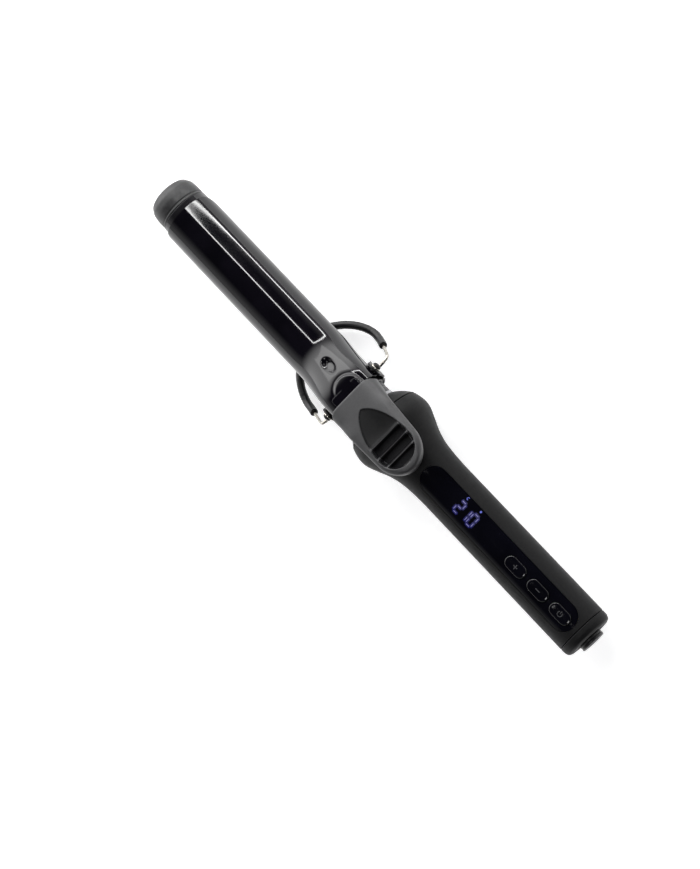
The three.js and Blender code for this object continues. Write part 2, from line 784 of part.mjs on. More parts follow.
// The sleeve follows the wire between two places measured along it.
function standSleeve() {
  const [from, to] = [0.149, 0.832];
  const points = [];
  const steps = 30;
  for (let i = 0; i <= steps; i += 1) points.push(STAND_CURVE.getPointAt(mix(from, to, i / steps)));
  return swept(new THREE.CatmullRomCurve3(points), STAND.sleeve, STAND.bore, steps, 4);
}

// ---------------------------------------------------------------- assembly

const iron = new THREE.Group();
iron.name = "curling_iron";

function add(name, geometry, material) {
  const mesh = new THREE.Mesh(closed(geometry), material);
  mesh.name = name;
  iron.add(mesh);
}

add("barrel_tube", barrelTube(), COATED_METAL);
add("tip_cap", tipCap(), BLACK_PLASTIC);
add("heater_plate", heaterPlate(), CERAMIC);
add("heat_spreader_upper", heatSpreader(1), ALUMINIUM);
add("heat_spreader_lower", heatSpreader(-1), ALUMINIUM);
add("thermistor", rod("x", -62, -57, 0, -3.4, 1.3, 12), CERAMIC);
add("thermal_fuse", rod("x", -66, -56, 0, 3.6, 1.7, 12), BRIGHT_STEEL);
add("insulation_disc", insulationDisc(), CERAMIC);
for (const [name, side] of [["left", -1], ["right", 1]]) {
  add(`heater_lead_${name}`, rod("x", -20, 62, side * 4.2, 0, LEAD_RADIUS, 8), LEAD_SLEEVE);
  add(`sensor_lead_${name}`, rod("x", -20, 62, side * 1.5, -3.4, LEAD_RADIUS, 8), LEAD_SLEEVE);
}
add("neck_tube", neckTube(), BLACK_PLASTIC);
add("neck_collar", neckCollar(), GREY_TRIM);
add("front_ring", frontRing(), CHARCOAL_PLASTIC);
add("handle_top_shell", handleTopShell(), CHARCOAL_PLASTIC);
add("handle_bottom_shell", handleBottomShell(), CHARCOAL_PLASTIC);
add("display_lens", displayLens(), GLOSS_PANEL);
add("display_module", block(90, 115, -5.5, 5.5, BOARD.top + GAP, 13.3), BLACK_PLASTIC);
add("main_board", mainBoard(), CIRCUIT_BOARD);
for (const [name, order] of Object.entries(BUTTON_STATIONS)) {
  add(`switch_${name}`, tactSwitch(order), BLACK_PLASTIC);
  add(`button_${name}`, button(order), GLOSS_PANEL);
}
add("triac", block(86, 101, -5, 5, 2.2, 6.6), BLACK_PLASTIC);
add("filter_capacitor", block(112, 130, -4, 4, -6, 6.6), GREY_TRIM);
add("board_screw_front", screw(...BOARD_BOSSES[0], BOARD.bottom - GAP, 10.4, 2.1, 1.3, 0.9), BRIGHT_STEEL);
add("board_screw_rear", screw(...BOARD_BOSSES[1], BOARD.bottom - GAP, 10.4, 2.1, 1.3, 0.9), BRIGHT_STEEL);
add("shell_screw_left", screw(SHELL_BOSS.x, -SHELL_BOSS.y, -17.9, 8, 2.7, 1.8, 1.4), BLACK_STEEL);
add("shell_screw_right", screw(SHELL_BOSS.x, SHELL_BOSS.y, -17.9, 8, 2.7, 1.8, 1.4), BLACK_STEEL);
add("mains_lead_live", rod("x", 140, 176, 6, -3, LEAD_RADIUS, 8), LEAD_SLEEVE);
add("mains_lead_neutral", rod("x", 140, 176, -6, -3, LEAD_RADIUS, 8), LEAD_SLEEVE);
add("end_cap", endCap(), CHARCOAL_PLASTIC);
add("swivel_housing", swivelHousing(), BLACK_PLASTIC);
add("contact_live", swivelContact(1, 181), BRASS);
add("contact_neutral", swivelContact(-1, 185.4), BRASS);
add("swivel_gland", swivelGland(), BLACK_PLASTIC);
add("slip_ring_live", slipRing(181), BRASS);
add("slip_ring_neutral", slipRing(185.4), BRASS);
add("hinge_saddle", hingeSaddle(), BLACK_STEEL);
add("saddle_screw", screw(4, 0, -17.8, -13, 2.7, 1.4, 1.3), BLACK_STEEL);
for (const [name, side] of [["left", -1], ["right", 1]]) {
  add(`hinge_rivet_${name}`, hingeRivet(side), BLACK_STEEL);
  add(`hinge_washer_${name}`, hingeWasher(side), BRIGHT_STEEL);
}
add("return_spring", returnSpring(), BRIGHT_STEEL);
add("clamp_blade", clampBlade(), COATED_METAL);
add("thumb_lever", thumbLever(), CHARCOAL_PLASTIC);
add("lever_screw_left", screw(...LEVER_SCREWS[1], TONGUE.bottom - GAP, 28.4, 2.3, 1.1, 1.2), BRIGHT_STEEL);
add("lever_screw_right", screw(...LEVER_SCREWS[0], TONGUE.bottom - GAP, 28.4, 2.3, 1.1, 1.2), BRIGHT_STEEL);
add("stand_wire", standWire(), BRIGHT_STEEL);
add("stand_sleeve", standSleeve(), BLACK_RUBBER);

// The origin is the bottom centre: half way along the iron, under the bulb's lowest point.
iron.position.set(-(TIP_FACE + GLAND_END) / 2, 0, BULB_RADIUS);

export default iron;
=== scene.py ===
"""Clamp curling iron on a pale floor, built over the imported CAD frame.

Stations along the iron are in millimetres from the barrel's rear end, heights from its axis.
at() turns them into metres in the frame's own coordinates.
"""
import json
import math

import bmesh
import bpy
from mathutils import Matrix, Vector


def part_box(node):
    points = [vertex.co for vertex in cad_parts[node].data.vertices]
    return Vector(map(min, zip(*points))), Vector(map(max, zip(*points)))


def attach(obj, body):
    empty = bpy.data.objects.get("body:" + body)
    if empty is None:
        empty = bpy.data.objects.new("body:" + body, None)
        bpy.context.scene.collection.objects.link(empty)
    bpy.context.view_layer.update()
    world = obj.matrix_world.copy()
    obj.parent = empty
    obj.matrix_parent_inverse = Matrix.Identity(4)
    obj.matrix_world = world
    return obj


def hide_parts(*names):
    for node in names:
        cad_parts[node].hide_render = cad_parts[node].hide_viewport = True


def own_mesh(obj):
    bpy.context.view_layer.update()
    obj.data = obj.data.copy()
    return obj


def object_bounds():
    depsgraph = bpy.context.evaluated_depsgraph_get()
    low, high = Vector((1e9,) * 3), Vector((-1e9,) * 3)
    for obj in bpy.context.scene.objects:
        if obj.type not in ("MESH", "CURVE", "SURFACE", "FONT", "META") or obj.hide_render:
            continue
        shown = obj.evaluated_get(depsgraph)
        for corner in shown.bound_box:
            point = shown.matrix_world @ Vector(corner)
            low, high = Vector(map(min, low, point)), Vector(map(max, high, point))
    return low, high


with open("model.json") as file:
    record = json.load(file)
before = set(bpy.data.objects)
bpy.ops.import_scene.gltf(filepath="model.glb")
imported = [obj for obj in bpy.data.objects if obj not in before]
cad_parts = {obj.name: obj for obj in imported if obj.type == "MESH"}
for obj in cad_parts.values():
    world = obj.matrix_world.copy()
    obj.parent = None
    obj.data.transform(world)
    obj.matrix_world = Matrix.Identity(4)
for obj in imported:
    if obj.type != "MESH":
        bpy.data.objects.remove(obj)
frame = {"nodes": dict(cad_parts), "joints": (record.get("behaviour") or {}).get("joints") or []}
CAD_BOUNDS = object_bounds()

# ---- places taken from the frame

MM = 0.001


def joint_place(name):
    found = next(item for item in frame["joints"] if item["name"] == name)
    return Vector(found["pos_m"])


def span(node):
    """Lowest and highest corner of a node, in millimetres in the iron's own stations."""
    low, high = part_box(node)
    return (Vector(low) - ORIGIN) / MM, (Vector(high) - ORIGIN) / MM


BARREL_LOW, BARREL_HIGH = (Vector(corner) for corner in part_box("barrel_tube"))
ORIGIN = Vector((BARREL_HIGH.x, 0.0, (BARREL_LOW.z + BARREL_HIGH.z) / 2))
HINGE = (joint_place("clamp_hinge") - ORIGIN) / MM
STAND = (joint_place("stand_hinge") - ORIGIN) / MM


def stretch_of(node):
    """First and last station of a node."""
    return [corner.x for corner in span(node)]


BARREL_START, BARREL_END = stretch_of("barrel_tube")
BARREL_RADIUS = span("barrel_tube")[1].z
TIP_FACE = stretch_of("tip_cap")[0]
BLADE_START, TONGUE_END = stretch_of("clamp_blade")
BLADE_OUTER, TONGUE_TOP = span("clamp_blade")[1].yz
BLADE_THICK = 0.8
BLADE_END = 6.2
NECK_RISE_START, NECK_RISE_END = -35.0, 2.7
EDGE_RISE_START = -28.0
BLADE_TOP_END, BLADE_EDGE_END = 25.5, 11.0
TONGUE_RADIUS = 9.6
LEVER_START, LEVER_END = stretch_of("thumb_lever")
LEVER_FRONT_HALF, LEVER_BACK_TOP = span("thumb_lever")[1].yz
LEVER_BACK_HALF, LEVER_FRONT_TOP = 15.1, 28.8
LEVER_ROUND_FROM = 48.0
NECK_RADIUS = 14.9
RING_START, RING_END = stretch_of("front_ring")
RING_RADIUS = span("front_ring")[1].y
HANDLE_START, HANDLE_END = stretch_of("handle_bottom_shell")
BULB_RADIUS = -span("handle_bottom_shell")[0].z
HANDLE_RADIUS = span("end_cap")[1].y
LEVER_FLAT = span("handle_top_shell")[1].z
SEAM = 0.15
LENS_START, LENS_END = stretch_of("display_lens")
LENS_HALF = span("display_lens")[1].y
LENS_INSET = 0.1
CUT_LOW, CUT_HIGH = 5.0, 24.0
CAP_END = stretch_of("end_cap")[1]
GLAND_END = stretch_of("swivel_gland")[1]
GLAND_BORE = 3.6
KEYS = ("plus", "minus", "power")
KEY_LENGTH, KEY_WIDTH, KEY_PROUD = 14.7, 7.6, 0.7


def at(x, y, z):
    return ORIGIN + Vector((x, y, z)) * MM


# ---- small maths


def mix(a, b, t):
    return a + (b - a) * t


def smooth(t):
    s = min(max(t, 0.0), 1.0)
    return s * s * (3.0 - 2.0 * s)


def steps(low, high, count):
    return [mix(low, high, i / count) for i in range(count + 1)]


def rounded(points, radius, closed=False):
    """A 2D outline with its corners replaced by short curves."""
    result = []
    count = len(points)
    for i, (x, y) in enumerate(points):
        if not closed and i in (0, count - 1):
            result.append((x, y))
            continue
        corner = Vector((x, y))
        before = Vector(points[i - 1]) - corner
        after = Vector(points[(i + 1) % count]) - corner
        reach = min(radius, before.length * 0.45, after.length * 0.45)
        start = corner + before.normalized() * reach
        end = corner + after.normalized() * reach
        for t in (0.0, 0.25, 0.5, 0.75, 1.0):
            place = start * (1 - t) ** 2 + corner * 2 * t * (1 - t) + end * t * t
            result.append((place.x, place.y))
    return result


def catmull(points, per_span):
    """Centripetal curve through a list of points."""
    knots = [points[0] * 2 - points[1], *points, points[-1] * 2 - points[-2]]
    result = []
    for i in range(1, len(knots) - 2):
        p0, p1, p2, p3 = knots[i - 1:i + 3]
        t1 = max((p1 - p0).length, 1e-9) ** 0.5
        t2 = t1 + max((p2 - p1).length, 1e-9) ** 0.5
        t3 = t2 + max((p3 - p2).length, 1e-9) ** 0.5
        for k in range(per_span):
            t = mix(t1, t2, k / per_span)
            a1 = p0 * ((t1 - t) / t1) + p1 * (t / t1)
            a2 = p1 * ((t2 - t) / (t2 - t1)) + p2 * ((t - t1) / (t2 - t1))
            a3 = p2 * ((t3 - t) / (t3 - t2)) + p3 * ((t - t2) / (t3 - t2))
            b1 = a1 * ((t2 - t) / t2) + a2 * (t / t2)
            b2 = a2 * ((t3 - t) / (t3 - t1)) + a3 * ((t - t1) / (t3 - t1))
            result.append(b1 * ((t2 - t) / (t2 - t1)) + b2 * ((t - t1) / (t2 - t1)))
    result.append(points[-1])
    return result


# ---- procedural materials


class Surface:
    """A material with a Principled shader and short helpers to wire procedural detail into it."""

    def __init__(self, name, color, roughness, metallic=0.0, ior=1.5, gloss=0.5):
        self.material = bpy.data.materials.new(name)
        self.material.use_nodes = True
        self.tree = self.material.node_tree
        self.shader = self.tree.nodes["Principled BSDF"]
        for socket, value in (("Base Color", (*color, 1.0)), ("Roughness", roughness), ("IOR", ior),
                              ("Metallic", metallic), ("Specular IOR Level", gloss)):
            self.shader.inputs[socket].default_value = value
        self.place = self.add("ShaderNodeTexCoord").outputs["Object"]
        self.height = None

    def add(self, kind):
        return self.tree.nodes.new(kind)

    def link(self, source, target):
        self.tree.links.new(source, target)

    def noise(self, scale, detail=3.0, stretch=(1.0, 1.0, 1.0)):
        mapping = self.add("ShaderNodeMapping")
        mapping.inputs["Scale"].default_value = stretch
        self.link(self.place, mapping.inputs["Vector"])
        node = self.add("ShaderNodeTexNoise")
        for socket, value in (("Scale", scale), ("Detail", detail), ("Roughness", 0.55)):
            node.inputs[socket].default_value = value
        self.link(mapping.outputs["Vector"], node.inputs["Vector"])
        return node.outputs["Fac"]

    def ramp(self, source, low, high, start=0.35, end=0.65):
        """Turns a 0..1 value into a run between two colours or two numbers."""
        node = self.add("ShaderNodeValToRGB")
        first, last = node.color_ramp.elements
        first.position, last.position = start, end
        first.color = (*low, 1.0) if isinstance(low, tuple) else (low, low, low, 1.0)
        last.color = (*high, 1.0) if isinstance(high, tuple) else (high, high, high, 1.0)
        self.link(source, node.inputs["Fac"])
        return node.outputs["Color"]

    def colour(self, source, low, high, start=0.35, end=0.65):
        self.link(self.ramp(source, low, high, start, end), self.shader.inputs["Base Color"])

    def roughen(self, source, low, high):
        self.link(self.ramp(source, low, high, 0.3, 0.7), self.shader.inputs["Roughness"])

    def glow(self, source, low, high, strength, start=0.35, end=0.65):
        self.link(self.ramp(source, low, high, start, end), self.shader.inputs["Emission Color"])
        self.shader.inputs["Emission Strength"].default_value = strength

    def bump(self, source, distance):
        node = self.add("ShaderNodeBump")
        node.inputs["Distance"].default_value = distance
        node.inputs["Strength"].default_value = 1.0
        self.link(source, node.inputs["Height"])
        if self.height is not None:
            self.link(self.height, node.inputs["Normal"])
        self.height = node.outputs["Normal"]
        self.link(self.height, self.shader.inputs["Normal"])


def finish(name, base, roughness, tint, mottle=None, bumps=(), **look):
    """A material: tint and mottle vary its colour and roughness by noise, bumps are (noise, height)."""
    s = Surface(name, base, roughness, **look)
    s.colour(s.noise(*tint[0]), *tint[1:])
    if mottle:
        s.roughen(s.noise(*mottle[0]), *mottle[1:])
    for pattern, height in bumps:
        s.bump(s.noise(*pattern), height)
    return s.material


def inner_metal(name, low, high, stretch):
    return finish(name, low, 0.35, ((400.0, 4.0, stretch), low, high),
                  ((600.0, 4.0, stretch), 0.25, 0.45), [((900.0, 3.0, stretch), 0.00001)], metallic=1.0)


def inner_plain(name, low, high, scale=500.0):
    return finish(name, low, 0.6, ((scale, 4.0), low, high), ((scale * 1.7, 4.0), 0.5, 0.7),
                  [((scale * 3.0, 3.0), 0.00001)])


def glowing(name, core, edge, strength):
    """Light from a display segment, a little uneven along its length."""
    s = Surface(name, (0.01, 0.01, 0.03), 0.3)
    s.glow(s.noise(700.0, 2.0), edge, core, strength, 0.3, 0.6)
    return s.material


def floor_paint():
    s = Surface("pale_floor", (0.8, 0.8, 0.8), 0.8, gloss=0.1)
    s.colour(s.noise(3.0, 2.0), (0.78, 0.78, 0.785), (0.82, 0.82, 0.82))
    s.glow(s.noise(3.0, 2.0), (0.97, 0.97, 0.975), (1.0, 1.0, 1.0), 0.55)
    s.bump(s.noise(140.0, 3.0), 0.0001)
    return s.material


LENGTHWISE_GRAIN = (0.05, 1.0, 1.0)

# glossy ceramic coating: a faint violet cast and a very slight orange peel
COATING = finish(
    "gloss_black_coating", (0.002, 0.0018, 0.003), 0.07,
    ((60.0, 2.0), (0.0016, 0.0014, 0.0026), (0.003, 0.0025, 0.0045)),
    ((240.0, 5.0, (0.25, 1.0, 1.0)), 0.055, 0.1), [((420.0, 2.0), 0.000006)])
# matte charcoal plastic with a fine moulded grain
CHARCOAL = finish(
    "soft_touch_charcoal", (0.005, 0.005, 0.0054), 0.5,
    ((900.0, 4.0), (0.004, 0.004, 0.0043), (0.0062, 0.0062, 0.0066)),
    ((260.0, 4.0), 0.46, 0.56), [((2600.0, 2.0), 0.00002), ((180.0, 2.0), 0.00002)],
    gloss=0.14)
# the lever's lighter soft-touch plastic, with a smoother face
LEVER_SKIN = finish(
    "soft_touch_lever", (0.018, 0.0178, 0.0195), 0.42,
    ((900.0, 4.0), (0.0155, 0.0153, 0.017), (0.021, 0.0207, 0.0225)),
    ((260.0, 4.0), 0.4, 0.48), [((2600.0, 2.0), 0.000016)], gloss=0.6)
# painted shade: near-black laid into the deep slots between the ribs, standing in for the shade inside
# them
SLOT_PAINTED_SHADE = finish(
    "grip_slot_painted_shade", (0.004, 0.004, 0.0045), 0.75,
    ((1500.0, 3.0), (0.003, 0.003, 0.0035), (0.007, 0.007, 0.008)),
    bumps=[((2500.0, 2.0), 0.00002)], gloss=0.08)
# painted shade: the thumb rest's bowl gets a darker, finer skin that stands in for the shade falling in
# it
REST_PAINTED_SHADE = finish(
    "thumb_rest_painted_shade", (0.004, 0.004, 0.0045), 0.46,
    ((900.0, 4.0), (0.0032, 0.0032, 0.0036), (0.005, 0.005, 0.0055)),
    ((260.0, 4.0), 0.42, 0.5), [((2600.0, 2.0), 0.000016)], gloss=0.22)
# heat-proof plastic with a light spark-eroded texture
BLACK_PLASTIC = finish(
    "satin_black_plastic", (0.01, 0.01, 0.011), 0.38,
    ((700.0, 3.0), (0.008, 0.008, 0.009), (0.014, 0.014, 0.015)),
    ((420.0, 4.0), 0.32, 0.46), [((1900.0, 3.0), 0.000018)])
# smoked gloss lens, near black with a blue depth
PANEL = finish(
    "smoked_gloss_panel", (0.0015, 0.0015, 0.003), 0.05,
    ((45.0, 2.0), (0.001, 0.001, 0.0022), (0.002, 0.002, 0.004)),
    ((320.0, 5.0), 0.035, 0.085), [((90.0, 1.0), 0.000006)], ior=1.45)
# black-finished steel, slightly worn to metal in places
BLACK_STEEL = finish(
    "blackened_steel", (0.01, 0.01, 0.011), 0.32,
    ((500.0, 5.0), (0.007, 0.007, 0.008), (0.03, 0.028, 0.027), 0.5, 0.8),
    ((350.0, 4.0), 0.24, 0.42), [((900.0, 3.0), 0.00001)], metallic=0.6)
# drawn and plated wire, with fine lengthwise marks
BRIGHT_STEEL = finish(
    "plated_steel", (0.5, 0.48, 0.44), 0.16,
    ((500.0, 4.0), (0.36, 0.34, 0.3), (0.6, 0.58, 0.54)),
    ((900.0, 4.0, (0.2, 1.0, 1.0)), 0.1, 0.26), [((1400.0, 3.0), 0.000005)],
    metallic=1.0)
# silicone: soft sheen, dusty mottling and a slightly uneven skin
SLEEVE = finish(
    "silicone_sleeve", (0.004, 0.004, 0.005), 0.36,
    ((260.0, 4.0), (0.003, 0.003, 0.004), (0.008, 0.0075, 0.008)),
    ((320.0, 4.0), 0.28, 0.46), [((700.0, 3.0), 0.00004), ((150.0, 2.0), 0.0001)], gloss=0.35)
COLLAR = finish(
    "satin_grey_trim", (0.33, 0.33, 0.34), 0.34,
    ((600.0, 4.0, LENGTHWISE_GRAIN), (0.28, 0.28, 0.29), (0.4, 0.4, 0.41)),
    bumps=[((1400.0, 3.0, LENGTHWISE_GRAIN), 0.000008)], metallic=0.7)
ICON = finish(
    "printed_icon_grey", (0.02, 0.021, 0.024), 0.5,
    ((1200.0, 3.0), (0.017, 0.018, 0.021), (0.024, 0.025, 0.028)))
SEGMENT_LIGHT = glowing("segment_light", (0.26, 0.25, 0.46), (0.18, 0.17, 0.4), 1.0)
SEGMENT_GLOW = glowing("segment_glow", (0.001, 0.001, 0.09), (0.0, 0.0, 0.06), 0.8)
SEGMENT_MARK = glowing("segment_mark", (0.16, 0.2, 0.75), (0.1, 0.12, 0.6), 0.8)
ALUMINIUM = inner_metal("extruded_aluminium", (0.5, 0.51, 0.52), (0.68, 0.69, 0.7), (0.03, 1.0, 1.0))
BRASS = inner_metal("contact_brass", (0.55, 0.37, 0.11), (0.72, 0.52, 0.2), (1.0, 1.0, 1.0))
CERAMIC = inner_plain("heater_ceramic", (0.72, 0.69, 0.62), (0.85, 0.82, 0.75))
CIRCUIT = inner_plain("circuit_board_green", (0.012, 0.09, 0.03), (0.02, 0.14, 0.05), 250.0)
WOVEN = inner_plain("woven_lead_sleeve", (0.55, 0.52, 0.45), (0.72, 0.69, 0.62), 2200.0)


# ---- mesh builders


def mesh_piece(name, places, faces, material, sharp=35.0):
    """An object from vertices in metres, smooth except at corners sharper than an angle."""
    mesh = bpy.data.meshes.new(name)
    mesh.from_pydata([tuple(place) for place in places], [], faces)
    mesh.validate()
    tidy = bmesh.new()
    tidy.from_mesh(mesh)
    bmesh.ops.remove_doubles(tidy, verts=tidy.verts, dist=2e-6)
    bmesh.ops.recalc_face_normals(tidy, faces=tidy.faces)
    tidy.to_mesh(mesh)
    tidy.free()
    mesh.materials.append(material)
    piece = bpy.data.objects.new(name, mesh)
    bpy.context.scene.collection.objects.link(piece)
    shade(piece, sharp)
    return piece


def shade(piece, sharp=35.0):
    piece.data.polygons.foreach_set("use_smooth", [True] * len(piece.data.polygons))
    piece.data.set_sharp_from_angle(angle=math.radians(sharp))


def settle(piece, sharp=35.0):
    """Applies a piece's modifiers to its mesh."""
    graph = bpy.context.evaluated_depsgraph_get()
    mesh = bpy.data.meshes.new_from_object(piece.evaluated_get(graph))
    piece.modifiers.clear()
    piece.data = mesh
    shade(piece, sharp)
    return piece


def bevelled(piece, width):
    modifier = piece.modifiers.new("edges", "BEVEL")
    modifier.width = width * MM
    modifier.segments = 3
    modifier.limit_method = "ANGLE"
    modifier.angle_limit = math.radians(40.0)
    return settle(piece, 50.0)


def carve(piece, cutter, operation="DIFFERENCE"):
    """Cuts a piece with another one, which is then removed."""
    modifier = piece.modifiers.new("carve", "BOOLEAN")
    modifier.operation = operation
    modifier.object = cutter
    modifier.solver = "EXACT"
    settle(piece)
    bpy.data.objects.remove(cutter)
    return piece


def grid_faces(rows, columns, wrap=False):
    faces = []
    for row in range(rows - 1):
        for column in range(columns if wrap else columns - 1):
            a = row * columns + column
            b = row * columns + (column + 1) % columns
            faces.append((a, b, b + columns, a + columns))
    return faces


def doubled_faces(rows, width):
    """Faces of two open grids of the same size, one inside the other, joined round their rims."""
    total = rows * width
    faces = grid_faces(rows, width)
    faces += [tuple(total + i for i in reversed(face)) for face in grid_faces(rows, width)]
    rim = list(range(width))
    rim += [row * width + width - 1 for row in range(1, rows)]
    rim += [(rows - 1) * width + k for k in reversed(range(width - 1))]
    rim += [row * width for row in reversed(range(1, rows - 1))]
    for i, a in enumerate(rim):
        b = rim[(i + 1) % len(rim)]
        faces.append((b, a, total + a, total + b))
    return faces


def turned(name, profile, material, sides=96, start=0.0, sweep=360.0):
    """Turns a closed or axis-ended profile of (station, radius) about the iron's axis."""
    whole = abs(sweep - 360.0) < 1e-6
    on_axis = profile[0][1] <= 0.0 and profile[-1][1] <= 0.0
    count = sides if whole else sides + 1
    places = []
    for k in range(count):
        angle = math.radians(start + sweep * k / sides)
        for x, radius in profile:
            places.append(at(x, radius * math.cos(angle), radius * math.sin(angle)))
    size = len(profile)
    faces = []
    for k in range(sides):
        near, far = k * size, ((k + 1) % count) * size
        for i in range(size - 1 if on_axis else size):
            j = (i + 1) % size
            faces.append((near + i, near + j, far + j, far + i))
    if not whole:
        faces.append(tuple(range(size)))
        faces.append(tuple(sides * size + i for i in reversed(range(size))))
    return mesh_piece(name, places, faces, material)


def pointing(piece, axis_turn, place):
    """Moves a piece turned about X so that its X axis points another way, from a place."""
    piece.data.transform(Matrix.Translation(place) @ axis_turn @ Matrix.Translation(-at(0, 0, 0)))
    return piece


UPWARDS = Matrix.Rotation(math.radians(-90), 4, "Y")


def sideways(side):
    return Matrix.Rotation(math.radians(90 * side), 4, "Z")


def wall_faces(count):
    return [(i, (i + 1) % count, count + (i + 1) % count, count + i) for i in range(count)]


def prism(name, outline, z0, z1, material):
    """A flat outline in X and Y raised between two heights."""
    count = len(outline)
    places = [at(x, y, z) for z in (z0, z1) for x, y in outline]
    faces = [tuple(reversed(range(count))), tuple(range(count, count * 2))]
    faces += wall_faces(count)
    return mesh_piece(name, places, faces, material)


def side_prism(name, outline, y0, y1, material):
    """A flat outline in X and Z carried across the iron between two sides."""
    count = len(outline)
    places = [at(x, y, z) for y in (y0, y1) for x, z in outline]
    faces = [tuple(range(count)), tuple(reversed(range(count, count * 2)))]
    faces += wall_faces(count)
    return mesh_piece(name, places, faces, material)


def racetrack(x0, x1, half, per_end=24):
    """Outline with straight sides and round ends, long axis along X."""
    outline = []
    for middle, first in ((x1 - half, -90.0), (x0 + half, 90.0)):
        for angle in steps(first, first + 180.0, per_end):
            turn = math.radians(angle)
            outline.append((middle + half * math.cos(turn), half * math.sin(turn)))
    return outline


def tube(name, path, radii, material, sides=20):
    """A round tube along a path of places, with a radius in millimetres for each; both ends closed."""
    count = len(path)
    tangents = [(path[min(i + 1, count - 1)] - path[max(i - 1, 0)]).normalized() for i in range(count)]
    side = tangents[0].orthogonal().normalized()
    places = []
    for i in range(count):
        side = (side - tangents[i] * side.dot(tangents[i])).normalized()
        other = tangents[i].cross(side)
        for k in range(sides):
            angle = 2 * math.pi * k / sides
            places.append(path[i] + (side * math.cos(angle) + other * math.sin(angle)) * radii[i] * MM)
    faces = grid_faces(count, sides, wrap=True)
    faces.append(tuple(reversed(range(sides))))
    faces.append(tuple((count - 1) * sides + k for k in range(sides)))
    return mesh_piece(name, places, faces, material, 45.0)


def cylinder(name, x0, x1, radius, material, sides=32):
    return turned(name, [(x0, 0.0), (x0, radius), (x1, radius), (x1, 0.0)], material, sides)


def stand_for(piece, body, slot, *nodes):
    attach(piece, body)
    if nodes:
        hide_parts(*nodes)
    return piece


# ---- barrel, tip and neck


def make_barrel():
    bore = BARREL_RADIUS - 0.9
    profile = [(BARREL_START, BARREL_RADIUS), (BARREL_END, BARREL_RADIUS), (BARREL_END, bore),
               (BARREL_START, bore)]
    barrel = turned("barrel_tube_fine", rounded(profile, 0.25, closed=True), COATING, 160)
    stand_for(barrel, "handle", "coated_metal", "barrel_tube")


def make_tip():
    """Cool tip: a moulded cap with a shallow dish and a ring groove where it meets the barrel."""
    wide = span("tip_cap")[1].z
    profile = [(TIP_FACE + 0.7, 0.0), (TIP_FACE + 0.7, 7.2), (TIP_FACE, 8.0), (TIP_FACE, 10.0),
               (TIP_FACE + 1.4, 13.2), (TIP_FACE + 5.0, 15.2), (TIP_FACE + 9.0, wide),
               (BARREL_START - 2.6, wide), (BARREL_START - 2.3, wide - 0.35),
               (BARREL_START - 1.7, wide - 0.35), (BARREL_START - 1.4, wide),
               (BARREL_START - 0.3, wide), (BARREL_START - 0.3, 14.8), (BARREL_START + 7.0, 14.8),
               (BARREL_START + 7.0, 12.6), (TIP_FACE + 4.0, 12.4), (TIP_FACE + 3.0, 0.0)]
    tip = turned("tip_cap_fine", rounded(profile, 0.9), BLACK_PLASTIC, 128)
    stand_for(tip, "handle", "black_plastic", "tip_cap")


def make_neck():
    start, end = span("neck_tube")[0].x, span("neck_tube")[1].x
    profile = [(start, 14.8), (0.3, 14.8), (0.3, 16.0), (7.5, 16.0), (7.9, NECK_RADIUS),
               (11.2, NECK_RADIUS), (11.5, NECK_RADIUS - 0.3), (11.9, NECK_RADIUS - 0.3),
               (12.2, NECK_RADIUS), (15.4, NECK_RADIUS), (15.4, 14.2), (end, 14.2), (end, 12.4),
               (start, 12.4)]
    neck = turned("neck_tube_fine", rounded(profile, 0.25, closed=True), BLACK_PLASTIC, 128)
    stand_for(neck, "handle", "black_plastic", "neck_tube")
    low, high = span("neck_collar")
    wide = high.z
    profile = [(low.x, wide), (high.x, wide), (high.x, wide - 0.9), (low.x, wide - 0.9)]
    collar = turned("neck_collar_fine", rounded(profile, 0.3, closed=True), COLLAR, 128)
    stand_for(collar, "handle", "grey_trim", "neck_collar")


# ---- clamp blade


def blade_section(x):
    """Edge height, crown height and shoulder power of the blade at a station."""
    rise = smooth((x - NECK_RISE_START) / (NECK_RISE_END - NECK_RISE_START))
    lift = smooth((x - EDGE_RISE_START) / (NECK_RISE_END - EDGE_RISE_START))
    return mix(0.5, BLADE_EDGE_END, lift), mix(BLADE_OUTER, BLADE_TOP_END, rise), mix(1.0, 0.68, rise)


DIMPLE = {"x": -15.3, "y": 2.8, "long": 6.6, "wide": 4.2, "deep": 2.3}
TONGUE_X, TONGUE_Y = 4.0, 2.4


def blade_relief(x, y, height):
    """Pressed detail on the blade's top: an oval dimple in the neck and a raised round-nosed tongue."""
    radius = math.hypot((x - DIMPLE["x"]) / DIMPLE["long"], (y - DIMPLE["y"]) / DIMPLE["wide"])
    height -= DIMPLE["deep"] * (1.0 - smooth((radius - 0.3) / 0.75))
    reach = math.hypot(min(x - TONGUE_X, 0.0), y - TONGUE_Y)
    inside = TONGUE_RADIUS - reach
    height -= 0.2 * smooth((x + 14.0) / 6.0) * math.exp(-(inside / 1.3) ** 2)
    if inside > 0.0:
        swell = TONGUE_TOP + 0.2 - 0.9 * (reach / TONGUE_RADIUS) ** 2
        height += max(swell - height, 0.0) * smooth(inside / 1.5)
    return height


